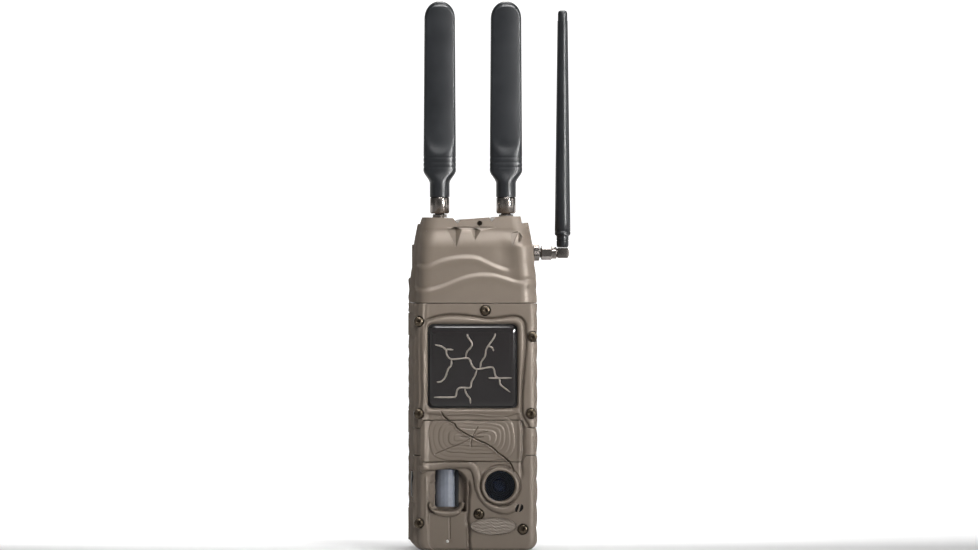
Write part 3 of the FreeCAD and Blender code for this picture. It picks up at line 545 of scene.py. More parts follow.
def stepped(middle, side, left_out, left_in, right_in, right_out):
    """Height that changes from the middle to the ears over a slanted step at each side."""
    def height(x):
        t = straight_line(x, left_out, left_in) * (1 - straight_line(x, right_in, right_out))
        return side + (middle - side) * t
    return height


def straight_line(x, a, b):
    """Straight step from 0 at a to 1 at b."""
    return np.clip((x - a) / (b - a), 0, 1)


# The band's ears at each side: where its edges step, and their heights.
EARS = (-33.6, -32.0, 28.4, 30.6)
EAR_LOW, EAR_HIGH = 58.0, 74.7
WALL = 3.0


def level(z):
    """Height that is the same all the way across."""
    return lambda x: np.full(np.shape(x), float(z))


def hollow(z_low, z_high):
    """Inside of a front cover."""
    inner = HALF - WALL
    return block("hollow", (-inner, FRONT_Y + 7.5, z_low), (inner, BACK_Y + 4, z_high), 0, 1.5)


def screw_wells(places):
    """Cutters that let the screw heads sit in the covers."""
    return [rod("well", "y", place, SCREW_R + 0.5, FRONT_Y - 4, FRONT_Y + 2.4, 32) for place in places]


def make_bezel():
    """Upper cover with its window and the wells of five screws."""
    bezel = wrap_cover("bezel_shell", stepped(BAND_HIGH[2] + SEAM, EAR_HIGH + SEAM, *EARS),
                       level(CAP_LOW[2] - SEAM), bezel_relief)
    pane = prism("pane_hole", "y", round_rect(*PANE_X, *PANE_Z, PANE_CORNER), FRONT_Y - 5, FRONT_Y + 9)
    carve(bezel, pane)
    carve(bezel, *screw_wells(SCREWS[:5]))
    carve(bezel, hollow(82.5, 147.5))
    return finish_piece(bezel, "housing", "flash_bezel", casing)


def make_band():
    """Middle cover, whose ends step down to ears at both sides."""
    band = wrap_cover("band_shell", stepped(BAND_LOW[2] + SEAM, EAR_LOW + SEAM, *EARS),
                      stepped(BAND_HIGH[2] - SEAM, EAR_HIGH - SEAM, *EARS), band_relief)
    return finish_piece(band, "housing", "centre_band", casing)


def make_lens_cover():
    """Lower cover with its holes for the lens, sensor, badge, light and microphone."""
    cover = wrap_cover("lens_cover_shell", level(0.0), stepped(BAND_LOW[2] - SEAM, EAR_LOW - SEAM, *EARS),
                       lens_relief, corner=7.0)
    window = prism("pir_hole", "y", round_rect(PIR_X - 7.2, PIR_X + 7.1, 26.7, 49.5, 1.4),
                   FRONT_Y - 4, BACK_Y - 1)
    bore = rod("bore", "y", (LENS_X, LENS_Z), LENS_R, FRONT_Y - 5, FRONT_Y + 12, 96)
    light = rod("light_hole", "y", (LIGHT_X, LIGHT_Z), 1.0, FRONT_Y - 4, FRONT_Y + 6, 24)
    oval = [(BADGE_X + 14.2 * math.cos(a), BADGE_Z + 5.3 * math.sin(a)) for a in full_turn(72)]
    seat = prism("badge_seat", "y", oval, FRONT_Y - 3, FRONT_Y + 0.7)
    for cutter in (seat, window, bore, light):
        carve(cover, cutter)
    carve(cover, *mic_slots())
    carve(cover, *screw_wells(SCREWS[5:]))
    return finish_piece(cover, "housing", "lens_cover", casing)


def mic_slots():
    """Two slots split by a slanted bar."""
    slots = []
    for side in (-1, 1):
        turns = np.radians(np.linspace(-90, 90, 12))
        outline = [(MIC_X + side * (0.55 + 1.9 * math.cos(t)), MIC_Z + 2.5 * math.sin(t)) for t in turns]
        outline = [(x + 0.28 * (z - MIC_Z), z) for x, z in outline]
        slots.append(prism("slot", "y", outline, FRONT_Y - 3, FRONT_Y + 3.5))
    return slots


def finish_piece(piece, body, node, material, angle=40):
    """Shades and colours a finished piece, hangs it on its body and hides the CAD nodes it stands for."""
    sharpen(piece, angle)
    piece.data.materials.clear()
    piece.data.materials.append(material())
    if isinstance(node, str):
        node = (node,)
    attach(piece, body)
    if node:
        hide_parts(*node)
    return piece


# ---------- top cap ----------

def cap_sections():
    """Loops of the cap from the seam up: height, half width, front, back."""
    rows = []
    low, high = CAP_LOW[2] + 0.1, CAP_HIGH[2] + 0.5
    for z in np.unique(np.append(np.arange(low, high, step_size(0.4)), high)):
        up = z - CAP_LOW[2]
        half = HALF - 0.0019 * up ** 2 - 0.012 * up
        front = cap_front(z)
        back = CAP_HIGH[1] - 9 * np.clip((z - 187) / 15, 0, 1)
        rows.append((z, half, front, back))
    return rows


def slope_back(z):
    """How far the front has moved back: a rounded shoulder, then the upright face of the ridge."""
    return 3.2 * smooth((z - 184.5) / 11.5) + 0.15 * max(z - 196, 0)


def wave_step(above):
    """A crest that falls away gently below and turns down sharply to a lower plane above."""
    drop = smooth((above + 1.6) / 3.3)
    return -0.75 * drop + 0.35 * hump(np.minimum(above + 1.6, 0), 3.0) * (1 - drop)


# The two waves across the cap, as x and z.
UPPER_WAVE = [(-40, 176.4), (-36.5, 174.6), (-33.9, 173.4), (-30.9, 173), (-26.7, 174), (-20.7, 176.6),
              (-14, 178.1), (-8, 178.8), (-2.1, 178.7), (2.2, 177.8), (6.5, 175.9), (11.5, 173.4),
              (16.7, 171.6), (21.7, 170.8), (30, 170.4), (40, 170.4)]
LOWER_WAVE = [(-40, 162), (-36.5, 160), (-34.3, 158.9), (-30.9, 158.7), (-25.9, 159.4), (-19, 161.5),
              (-12.3, 164.3), (-5.4, 166.6), (1.3, 167.9), (8.1, 168), (13.2, 167.3), (18.3, 165.7),
              (24.3, 163.9), (28.5, 163.4), (31.9, 163.6), (40, 164.4)]


def cap_relief(x, z):
    """Two waves, a hollow at the right and the upright column beside it."""
    upper = wave_height(x, UPPER_WAVE)
    lower = wave_height(x, LOWER_WAVE)
    fade = 1 - 0.95 * smooth((x - 15) / 9)
    waves = wave_step(z - upper) * fade + wave_step(z - lower)
    hollow_right = -0.7 * hump((x - 18.4) / 5.4, 1) * hump((z - 181.5) / 7, 1)
    column = 1.0 * smooth((x - 20) / 9) * smooth((z - 162) / 6) * smooth((190 - z) / 6)
    return waves + hollow_right + column + 0.9 + left_fall(x) * 0.6


def cap_loop(z, half, front, back):
    """One level of the cap: a rectangle with round corners, moved in and out by its relief."""
    radius, count = 10.5, int(2 * HALF / GRID)
    face = np.linspace(-half + radius, half - radius, count)
    side = np.linspace(front + radius, back - radius, 40)
    turns = np.radians(np.linspace(0, 90, 12))[1:]
    s, c = np.sin(turns), np.cos(turns)
    near, far = front + radius, back - radius
    inner = half - radius
    rows = [(x, front, 0, -1) for x in face]
    rows += [(inner + radius * a, near - radius * b, a, -b) for a, b in zip(s, c)]
    rows += [(half, y, 1, 0) for y in side[1:]]
    rows += [(inner + radius * b, far + radius * a, b, a) for a, b in zip(s, c)]
    rows += [(x, back, 0, 1) for x in face[::-1][1:]]
    rows += [(-inner - radius * a, far + radius * b, -a, b) for a, b in zip(s, c)]
    rows += [(-half, y, -1, 0) for y in side[::-1][1:]]
    rows += [(-inner - radius * b, near - radius * a, -b, -a) for a, b in list(zip(s, c))[:-1]]
    p = np.array(rows)
    zz = np.full(len(p), z)
    facing = smooth((-p[:, 3] - 0.02) / 0.6)
    rise = cap_relief(p[:, 0], zz) * facing * smooth((193 - z) / 8)
    rise = rise + bark(p[:, 1], zz) * np.abs(p[:, 2]) * smooth((190 - z) / 20) * 0.8
    seam_edge = 0.4 * (1 - math.sqrt(1 - np.clip(1 - (z - CAP_LOW[2] - 0.1) / 0.6, 0, 1) ** 2))
    rise = rise - seam_edge
    return np.stack([p[:, 0] + p[:, 2] * rise, p[:, 1] + p[:, 3] * rise, zz], -1)


def hull(name, points):
    """Convex block through given points."""
    mesh = bpy.data.meshes.new(name)
    shape = bmesh.new()
    for point in points:
        shape.verts.new([value * MM for value in point])
    made = bmesh.ops.convex_hull(shape, input=shape.verts)
    bmesh.ops.delete(shape, geom=made["geom_interior"], context="VERTS")
    bmesh.ops.recalc_face_normals(shape, faces=shape.faces)
    shape.to_mesh(mesh)
    shape.free()
    piece = bpy.data.objects.new(name, mesh)
    bpy.context.collection.objects.link(piece)
    return piece


def cap_front(z):
    """Where the cap's front face is at height z, before its relief."""
    return FRONT_Y + 0.03 * (z - CAP_LOW[2]) + slope_back(z)


def chop(left, right, tip, crease, deep):
    """Axe notch: from two points at its top to its tip, with a crease that runs deeper towards the top."""
    ahead = FRONT_Y - 9
    points = [(left[0], ahead, left[1]), (right[0], ahead, right[1]), (tip[0], ahead, tip[1]),
              (left[0], cap_front(left[1]) + 0.2, left[1]), (right[0], cap_front(right[1]) + 0.2, right[1]),
              (tip[0], cap_front(tip[1]) + 0.7, tip[1]),
              (crease[0], cap_front(crease[1]) + deep, crease[1])]
    return hull("chop", points)


def ridge_cutters():
    """Shoulders and V notches that leave three blocks standing along the ridge."""
    top = CAP_HIGH[2] + 4
    outlines = [
        [(-60, top), (-60, 196.5), (-34, 198.6), (-31.4, 198.8), (-30.2, 202.7), (-13.2, 202.2),
         (-13.2, top)],
        [(-13.4, top), (-13.4, 202.2), (-10.7, 198.7), (-8.6, 201.5), (-8.6, top)],
        [(-8.8, top), (-8.8, 201.4), (0, 202), (8.9, 202.7), (8.9, top)],
        [(8.7, top), (8.7, 202.7), (9.9, 199.9), (12.8, 203.1), (12.8, top)],
        [(12.6, top), (12.6, 203.1), (27.8, 203.4), (28.7, 198.7), (33.2, 199.6), (36.5, 197), (60, 196),
         (60, top)],
    ]
    return [prism("ridge_cut", "y", outline, -60, 60) for outline in outlines]


# Axe notches in the ridge: left, right, tip and crease as x and z, and how deep the crease is.
NOTCHES = [
    ((-17.0, 195.2), (-8.2, 195.0), (-11.8, 184.2), (-11.8, 197.0), 3.4),
    ((-3.4, 195.0), (3.4, 194.8), (-0.1, 188.6), (0.2, 196.2), 2.8),
    ((-34.2, 196.5), (-27.2, 193.6), (-30.2, 188.2), (-29.4, 194.6), 2.4),
    ((21.4, 192.8), (26.8, 194.8), (22.4, 184.6), (25.4, 193.4), 0.7),
    ((26.0, 194.6), (30.0, 189.6), (25.8, 187.0), (27.8, 192.0), 2.3),
]


def slash():
    """Flat strike along the foot of the ridge: a floor below and a wall behind."""
    ahead = FRONT_Y - 9
    low, high, top = 194.1, 196.7, 197.0
    shelf, wall = cap_front(low), cap_front(low) + 1.3
    return hull("slash", [(-9, ahead, low), (3, ahead, low), (-17.4, ahead, 196.6), (12.8, ahead, 196.5),
                          (-13, ahead, top), (8, ahead, top), (-9, shelf, low), (3, shelf, low),
                          (-17.4, cap_front(196.6), 196.6), (12.8, cap_front(196.5), 196.5),
                          (-12, wall, high), (7, wall, high), (-12, wall, top), (7, wall, top)])


def make_cap():
    """Top cap: a waved shell, cut into a ridge, chopped, hollowed and drilled."""
    cap = loft("cap_shell", [cap_loop(*row) for row in cap_sections()])
    cutters = ridge_cutters() + [chop(*notch) for notch in NOTCHES] + [
        slash(),
        rod("dimple", "y", (2.7, 199), 1.6, FRONT_Y - 4, cap_front(199) + 3.4, 32),
        block("cavity", (-31.5, -34, CAP_LOW[2] - 2), (31.5, 29.5, 184), 0, 2, "z"),
        block("panel_window", (-28, 28, 155), (30, 36, 181), 0, 1.5),
        rod("side_hole", "x", (ANTENNA_Y, SIDE_Z), 3.2, 25, 42, 32),
    ]
    for cutter in cutters:
        carve(cap, cutter)
    return finish_piece(cap, "housing", "top_cap", casing, 30)


# ---------- materials ----------

def new_material(name):
    """Material with its node tree and its Principled shader."""
    material = bpy.data.materials.new(name)
    material.use_nodes = True
    tree = material.node_tree
    shader = tree.nodes["Principled BSDF"]
    return material, tree, shader


def add_node(tree, kind, **values):
    """Adds a shader node; each value is an input's default or a setting of the node."""
    made = tree.nodes.new(kind)
    for key, value in values.items():
        if key in made.inputs:
            made.inputs[key].default_value = value
        else:
            setattr(made, key, value)
    return made


def object_noise(tree, scale, detail, roughness=0.55, stretch=None):
    """Noise fixed to the object, in metres, so that it stays with a moving piece."""
    place = add_node(tree, "ShaderNodeTexCoord")
    noise = add_node(tree, "ShaderNodeTexNoise", Scale=scale, Detail=detail, Roughness=roughness)
    if stretch:
        mapping = add_node(tree, "ShaderNodeMapping", Scale=stretch)
        tree.links.new(place.outputs["Object"], mapping.inputs["Vector"])
        tree.links.new(mapping.outputs["Vector"], noise.inputs["Vector"])
    else:
        tree.links.new(place.outputs["Object"], noise.inputs["Vector"])
    return noise.outputs["Fac"]


def ramp(tree, factor, stops):
    """Colour that follows a factor through stops of (place, colour)."""
    made = add_node(tree, "ShaderNodeValToRGB")
    elements = made.color_ramp.elements
    while len(elements) < len(stops):
        elements.new(0.5)
    for element, (place, colour) in zip(elements, stops):
        element.position = place
        element.color = (*colour, 1)
    tree.links.new(factor, made.inputs["Fac"])
    return made.outputs["Color"]


def map_range(tree, factor, source, target, kind="LINEAR"):
    """A value moved from one range to another."""
    made = add_node(tree, "ShaderNodeMapRange", interpolation_type=kind)
    ends = zip(("From Min", "From Max", "To Min", "To Max"), (*source, *target))
    for socket, value in ends:
        made.inputs[socket].default_value = value
    tree.links.new(factor, made.inputs["Value"])
    return made.outputs["Result"]


def spread(tree, noise, low, high):
    """Noise stretched to a range of values."""
    return map_range(tree, noise, (0.3, 0.7), (low, high))


def bump(tree, shader, factor, strength, distance):
    """Gives the shader a relief too fine for the mesh."""
    made = add_node(tree, "ShaderNodeBump", Strength=strength, Distance=distance)
    tree.links.new(factor, made.inputs["Height"])
    tree.links.new(made.outputs["Normal"], shader.inputs["Normal"])


def plain(name, low, high, rough_low, rough_high, metallic=0.0, grain=900, grain_depth=0.00004, patch=40,
          coat=0.0, coat_rough=0.2, stretch=None):
    """Mottled, grained surface: colour and roughness wander, and a fine grain catches the light."""
    material, tree, shader = new_material(name)
    patches = object_noise(tree, patch, 5, 0.6, stretch)
    fine = object_noise(tree, grain, 3, 0.6, stretch)
    tree.links.new(ramp(tree, patches, [(0.3, low), (0.7, high)]), shader.inputs["Base Color"])
    tree.links.new(spread(tree, patches, rough_low, rough_high), shader.inputs["Roughness"])
    bump(tree, shader, fine, 0.35, grain_depth)
    shader.inputs["Metallic"].default_value = metallic
    shader.inputs["Coat Weight"].default_value = coat
    shader.inputs["Coat Roughness"].default_value = coat_rough
    return material


def matt_side(tree, across, front, side):
    """Value that changes from the front to the coarser, matt sides."""
    return map_range(tree, across.outputs["Value"], (0.8, 0.97), (front, side), "SMOOTHSTEP")


def blend_colours(tree, mode, share, base, top):
    """One colour laid over another."""
    mix = add_node(tree, "ShaderNodeMix", data_type="RGBA", blend_type=mode)
    mix.inputs[0].default_value = share
    tree.links.new(base, mix.inputs[6])
    tree.links.new(top, mix.inputs[7])
    return mix.outputs[2]


@cache
def casing():
    """Satin taupe paint over moulded plastic, with painted shade in hollows and creases and paler worn
    edges.
    """
    material, tree, shader = new_material("casing")
    patches = object_noise(tree, 28, 6, 0.6)
    colour = ramp(tree, patches, [(0.25, (0.134, 0.108, 0.085)), (0.55, (0.150, 0.122, 0.097)),
                                  (0.8, (0.165, 0.135, 0.109))])
    # Painted shade: ambient occlusion darkens the colour in hollows and recesses.
    hollows = add_node(tree, "ShaderNodeAmbientOcclusion", Distance=0.003, samples=8)
    painted_hollow_shade = ramp(tree, hollows.outputs["AO"], [(0.25, (0.30, 0.28, 0.26)), (0.85, (1, 1, 1))])
    dark = blend_colours(tree, "MULTIPLY", 0.6, colour, painted_hollow_shade)
    # Paler convex edges stand for wear; the darker concave creases are painted shade.
    edge = add_node(tree, "ShaderNodeNewGeometry")
    wear_and_crease_shade = ramp(tree, edge.outputs["Pointiness"], [(0.46, (0.36, 0.36, 0.36)), (0.5, (0.5, 0.5, 0.5)),
                                                   (0.56, (0.72, 0.72, 0.72))])
    tree.links.new(blend_colours(tree, "OVERLAY", 0.5, dark, wear_and_crease_shade), shader.inputs["Base Color"])
    fine = object_noise(tree, 1400, 2, 0.5)
    facing = add_node(tree, "ShaderNodeSeparateXYZ")
    tree.links.new(edge.outputs["True Normal"], facing.inputs["Vector"])
    across = add_node(tree, "ShaderNodeMath", operation="ABSOLUTE")
    tree.links.new(facing.outputs["X"], across.inputs[0])
    tree.links.new(matt_side(tree, across, 0.43, 0.9), shader.inputs["Roughness"])
    tree.links.new(matt_side(tree, across, 0.2, 0.0), shader.inputs["Metallic"])
    tree.links.new(matt_side(tree, across, 0.4, 0.02), shader.inputs["Specular IOR Level"])
    bump(tree, shader, fine, 0.25, 0.00003)
    return material


@cache
def window_gloss():
    return plain("window_gloss", (0.014, 0.0125, 0.0125), (0.018, 0.016, 0.016), 0.06, 0.12, coat=0.3,
                 coat_rough=0.04, grain=300, grain_depth=0.000004)


@cache
def branch_paint():
    return plain("branch_paint", (0.16, 0.138, 0.117), (0.23, 0.203, 0.176), 0.38, 0.52, patch=120,
                 grain=1600)


@cache
def badge_paint():
    return plain("badge_paint", (0.150, 0.124, 0.100), (0.19, 0.16, 0.132), 0.38, 0.48, metallic=0.12,
                 grain=700, grain_depth=0.00018, coat=0.15)


@cache
def bronze():
    return plain("bronze", (0.070, 0.056, 0.040), (0.15, 0.12, 0.088), 0.22, 0.42, metallic=1.0, patch=300,
                 grain=2500, grain_depth=0.00002)


@cache
def gunmetal():
    return plain("gunmetal", (0.25, 0.226, 0.208), (0.29, 0.262, 0.242), 0.20, 0.26, metallic=1.0, patch=60,
                 grain=2500, grain_depth=0.000008)


@cache
def steel():
    return plain("steel", (0.45, 0.44, 0.42), (0.60, 0.59, 0.57), 0.22, 0.38, metallic=1.0, patch=120,
                 grain=2200, grain_depth=0.00002, stretch=(1, 1, 6))


@cache
def gold_plate():
    return plain("gold_plate", (0.62, 0.43, 0.17), (0.80, 0.58, 0.26), 0.20, 0.34, metallic=1.0, patch=160)


@cache
def copper():
    return plain("copper", (0.55, 0.25, 0.12), (0.66, 0.32, 0.17), 0.22, 0.34, metallic=1.0, patch=60,
                 grain_depth=0.00001)


@cache
def antenna_plastic():
    return plain("antenna_plastic", (0.0055, 0.0063, 0.0078), (0.009, 0.0102, 0.0122), 0.32, 0.42, patch=60,
                 grain=1500, grain_depth=0.00003, coat=0.15, coat_rough=0.3)


@cache
def black_plastic():
    return plain("black_plastic", (0.018, 0.018, 0.019), (0.030, 0.030, 0.031), 0.42, 0.58, patch=70,
                 grain=1300, grain_depth=0.00006)


@cache
def card_plastic():
    return plain("card_plastic", (0.020, 0.035, 0.080), (0.028, 0.047, 0.105), 0.35, 0.48, patch=90,
                 grain=1500, grain_depth=0.00004)


@cache
def rubber():
    return plain("rubber", (0.016, 0.016, 0.016), (0.028, 0.028, 0.027), 0.62, 0.80, patch=90, grain=1500,
                 grain_depth=0.00006)


@cache
def board_green():
    return plain("board_green", (0.012, 0.075, 0.030), (0.020, 0.11, 0.048), 0.25, 0.38, patch=260,
                 coat=0.4, coat_rough=0.15)


@cache
def led_resin():
    return plain("led_resin", (0.030, 0.018, 0.026), (0.055, 0.032, 0.045), 0.06, 0.14, patch=200, coat=0.6,
                 coat_rough=0.05, grain_depth=0.000004)


@cache
def cell_sleeve():
    """Black sleeve of a D cell."""
    return plain("cell_sleeve", (0.018, 0.018, 0.020), (0.028, 0.028, 0.031), 0.22, 0.34, patch=60,
                 coat=0.4, coat_rough=0.12)


@cache
def screen():
    return plain("screen", (0.070, 0.085, 0.060), (0.095, 0.11, 0.080), 0.10, 0.18, patch=40, coat=0.5,
                 coat_rough=0.05, grain_depth=0.000004)


@cache
def light_pipe():
    material = plain("light_pipe", (0.70, 0.68, 0.64), (0.85, 0.83, 0.80), 0.10, 0.2, patch=300)
    material.node_tree.nodes["Principled BSDF"].inputs["Transmission Weight"].default_value = 0.3
    return material


@cache
def sensor_film():
    """Milky blue-grey lens of the motion sensor, moulded in narrow upright facets."""
    material, tree, shader = new_material("sensor_film")
    place = add_node(tree, "ShaderNodeTexCoord")
    wave = add_node(tree, "ShaderNodeTexWave", Scale=260.0, Distortion=0.4)
    wave.bands_direction = "X"
    tree.links.new(place.outputs["Object"], wave.inputs["Vector"])
    patches = object_noise(tree, 120, 4)
    tree.links.new(ramp(tree, patches, [(0.3, (0.110, 0.121, 0.146)), (0.7, (0.170, 0.184, 0.217))]),
                   shader.inputs["Base Color"])
    shader.inputs["Roughness"].default_value = 0.42
    shader.inputs["Subsurface Weight"].default_value = 0.25
    shader.inputs["Subsurface Radius"].default_value = (0.002, 0.002, 0.003)
    shader.inputs["Coat Weight"].default_value = 0.3
    bump(tree, shader, wave.outputs["Fac"], 0.25, 0.0001)
    return material


@cache
def clear_glass():
    """Smoked cover glass: clear enough to see the barrel, with a cool tint."""
    material, tree, shader = new_material("clear_glass")
    smear = object_noise(tree, 90, 3)
    tree.links.new(spread(tree, smear, 0.0, 0.02), shader.inputs["Roughness"])
    shader.inputs["Base Color"].default_value = (0.42, 0.50, 0.62, 1)
    shader.inputs["Transmission Weight"].default_value = 1.0
    shader.inputs["IOR"].default_value = 1.3
    return material


@cache
def barrel_black():
    return plain("barrel_black", (0.004, 0.005, 0.007), (0.008, 0.009, 0.012), 0.25, 0.4, patch=200,
                 grain=1500, grain_depth=0.00002)


@cache
def lens_coating():
    """Dark front element with a painted reflection tint: its colour turns from blue to violet across its
    curve.
    """
    material, tree, shader = new_material("lens_coating")
    # Painted reflection: the colour turns from blue to violet as the surface turns away from the view.
    facing = add_node(tree, "ShaderNodeLayerWeight", Blend=0.35)
    colour = ramp(tree, facing.outputs["Facing"], [
        (0.0, (0.016, 0.024, 0.040)), (0.4, (0.030, 0.052, 0.090)), (0.75, (0.070, 0.030, 0.090)),
        (1.0, (0.03, 0.05, 0.06))])
    tree.links.new(colour, shader.inputs["Base Color"])
    haze = object_noise(tree, 200, 3)
    tree.links.new(spread(tree, haze, 0.03, 0.07), shader.inputs["Roughness"])
    shader.inputs["Coat Weight"].default_value = 1.0
    shader.inputs["Coat Roughness"].default_value = 0.03
    shader.inputs["Coat Tint"].default_value = (0.75, 0.7, 1.0, 1)
    return material


# ---------- flash window ----------

def make_pane():
    """Dark pane with a wide sloping bevel and softly rounded edges, and the seal behind it."""
    x_low, x_high = PANE_X[0] + PANE_GAP, PANE_X[1] - PANE_GAP
    z_low, z_high = PANE_Z[0] + PANE_GAP, PANE_Z[1] - PANE_GAP
    bevel = [(0, 3.2), (0, 1.3), (0.1, 1.0), (0.35, 0.62), (0.95, 0.35), (1.55, 0.08), (1.9, 0),
             (3.5, -0.02)]
    loops = []
    for pull, back in bevel:
        outline = round_rect(x_low + pull, x_high - pull, z_low + pull, z_high - pull,
                             PANE_CORNER - 0.35 * pull, 10)
        loops.append([(x, FRONT_Y + back, z) for x, z in outline])
    pane = loft("pane", loops)
    finish_piece(pane, "housing", "flash_window", window_gloss, 30)
    outline = round_rect(PANE_X[0] + 0.1, PANE_X[1] - 0.1, PANE_Z[0] + 0.1, PANE_Z[1] - 0.1, 3)
    seal = prism("pane_seal", "y", outline, FRONT_Y + 2.4, FRONT_Y + 3.1, 0.15)
    return finish_piece(seal, "housing", "flash_gasket", rubber, 30)


# The branching ribs on the pane, as x and z.
BRANCHES = [
    [(-24.6, 125.2), (-20.5, 124.1), (-18.1, 122.1), (-17.4, 119), (-14.6, 116.5), (-6.3, 117.1),
     (-3.8, 116.5), (-2.4, 113), (-0.1, 110.6), (2.7, 110.6), (9, 111.6), (11, 110.6), (12.1, 106.4),
     (14.5, 104.4), (15.2, 100.9), (21.1, 96.4)],
    [(-18.1, 122.1), (-16.7, 122.5), (-13.5, 122.2)],
    [(-14.6, 116.5), (-14.9, 112.7), (-16.7, 110.6), (-18.4, 105.8), (-20.9, 103), (-23.6, 102.6)],
    [(-5.4, 131.8), (-4.6, 129.7), (-2.4, 126.6), (-2.8, 123.8), (-5.2, 121), (-6.1, 117.2)],
    [(12.1, 132.1), (11, 129.3), (8.3, 125.5), (6.5, 122.4), (5.6, 118.2), (3.4, 114.7), (2.7, 111)],
    [(7.9, 124.4), (10, 123.4), (11, 121.3)],
    [(7.9, 105), (13.1, 105), (22.1, 105)],
    [(0.7, 109.9), (-0.4, 106.4), (-2.4, 103), (-3.5, 99.2), (-9, 99.2), (-11.2, 97.8), (-12.2, 93.9),
     (-14.6, 93.3), (-25.3, 93.3)],
    [(-6.6, 98.5), (-5.6, 95.3), (-3.5, 92.6), (-3.1, 89.5)],
]


def make_branches():
    """Raised ribs on the pane: half-sunk round runs that taper at their free ends."""
    runs = []
    angles = full_turn(12)
    for number, route in enumerate(BRANCHES):
        line = spline(route, 7)
        count = len(line)
        loops = []
        for i, (x, z) in enumerate(line):
            ahead = line[min(i + 1, count - 1)] - line[max(i - 1, 0)]
            ahead = ahead / (np.linalg.norm(ahead) + 1e-9)
            side = np.array([-ahead[1], ahead[0]])
            taper = min(1.0, 0.45 + i / 6, 0.45 + (count - 1 - i) / 6)
            width = 0.56 * taper * (1 + 0.10 * math.sin(i * 1.3 + number))
            loops.append([(x + side[0] * width * math.cos(a), FRONT_Y + 0.05 - 0.55 * taper * math.sin(a),
                           z + side[1] * width * math.cos(a)) for a in angles])
        runs.append(loft(f"run_{number}", loops))
    ribs = join(runs, "window_ribs")
    return finish_piece(ribs, "housing", "window_branches", branch_paint, 60)


# ---------- screws ----------

def screw_head(x, y, z, radius, turn, outward=-1):
    """Pan head with a cross recess, facing -Y, or +Y when outward is 1."""
    steps = 48
    angles = full_turn(steps)
    cross = 0.30 + 0.70 * np.abs(np.cos(2 * (angles - turn))) ** 4
    turned = [(0.0, 0.2), (0.62, 1.0), (1.35, 0.98), (1.75, 0.86), (1.95, 0.70)]
    rings = [(up, share * np.ones(steps)) for up, share in turned]
    rings += [(2.02, 0.52 * (0.55 + 0.45 * cross)), (1.2, 0.42 * cross), (0.9, 0.10 * cross)]
    loops = [[(x + radius * r * math.cos(a), y + outward * up, z + radius * r * math.sin(a))
              for r, a in zip(reach, angles)] for up, reach in rings]
    return loft("head", loops)


def make_screws():
    """The eight screws of the front, each turned its own way."""
    heads = [screw_head(x, FRONT_Y + 2.0, z, SCREW_R, 0.4 + 1.1 * number)
             for number, (x, z) in enumerate(SCREWS)]
    return finish_piece(join(heads, "screw_heads"), "housing", "face_screws", bronze, 35)


# ---------- camera lens, motion sensor, badge, light ----------

def along_front(profile):
    """Profile whose places are depths behind the front face."""
    return [(FRONT_Y + depth, radius) for depth, radius in profile]


def make_lens():
    """Cover glass, stepped black barrel and the domed front element."""
    centre = (LENS_X, LENS_Z)
    rim = LENS_R - 0.15
    glass = lathe("cover_glass", "y", centre, along_front(
        [(2.6, 0.2), (2.6, rim), (1.7, rim), (1.5, rim - 0.2), (1.5, 0.2)]), 96)
    finish_piece(glass, "housing", "lens_window", clear_glass, 30)
    barrel = lathe("lens_tube", "y", centre, along_front(
        [(13, 8.8), (13, 9.1), (3.0, 9.1), (3.0, 8.6), (4.2, 8.2), (4.2, 7.2), (3.6, 6.9), (3.6, 6.1),
         (4.6, 5.7), (4.6, 4.9), (5.4, 4.6), (6.4, 4.4), (13, 4.4)]), 96)
    finish_piece(barrel, "housing", "lens_barrel", barrel_black, 25)
    radius = 4.4
    dome = [(7.6 - 1.4 * math.cos(t), radius * math.sin(t)) for t in np.linspace(0.02, 1.45, 14)]
    element = lathe("front_element", "y", centre, along_front([(9, 0.2), (9, radius)] + dome[::-1]), 72)
    finish_piece(element, "housing", "lens_elements", lens_coating, 30)


def make_pir():
    """Half-round lens with upright facets; it sits left of centre, with black blocks behind and right of it
    as painted shade in its window.
    """
    low, high = 26.8, 49.4
    radius, wall = 6.7, 0.9
    x_mid, y_mid = PIR_X - 0.4, FRONT_Y + 8.6
    arc = np.radians(np.linspace(-8, 188, 66))
    rows = []
    for z in np.linspace(low, high, 40):
        facet = 0.10 * np.abs(np.sin(arc * 9)) + 0.06 * abs(math.sin((z - low) * math.pi / 5.6))
        outer = [(x_mid + r * math.cos(a), y_mid - r * math.sin(a), z) for a, r in zip(arc, radius - facet)]
        inner = [(x_mid + (radius - wall) * math.cos(a), y_mid - (radius - wall) * math.sin(a), z)
                 for a in arc[::-2]]
        rows.append(outer + inner)
    lens = loft("sensor_lens", rows)
    finish_piece(lens, "housing", "pir_lens", sensor_film, 25)
    # Painted shade: a black block behind the lens and another at its right keep the window dark.
    back = block("sensor_shade_back", (PIR_X - 8, y_mid + 1, low - 1.5), (PIR_X + 8, y_mid + 3, high + 1.5), 0.2)
    finish_piece(back, "housing", (), barrel_black)
    side = block("sensor_shade_wall", (PIR_X + 5.2, FRONT_Y + 3.4, low - 0.2),
                 (PIR_X + 7.2, y_mid + 1, high + 0.3), 0.2)
    finish_piece(side, "housing", (), barrel_black)


def grain_mark(share, angle):
    """Shallow wood-grain waves over the badge's field."""
    if share > 0.85:
        return 0.0
    x, z = 13.6 * share * math.cos(angle), 4.8 * share * math.sin(angle)
    return 0.13 * math.sin(3.3 * z + 1.2 * math.sin(0.75 * x) + 0.9 * math.sin(2.3 * x + z))


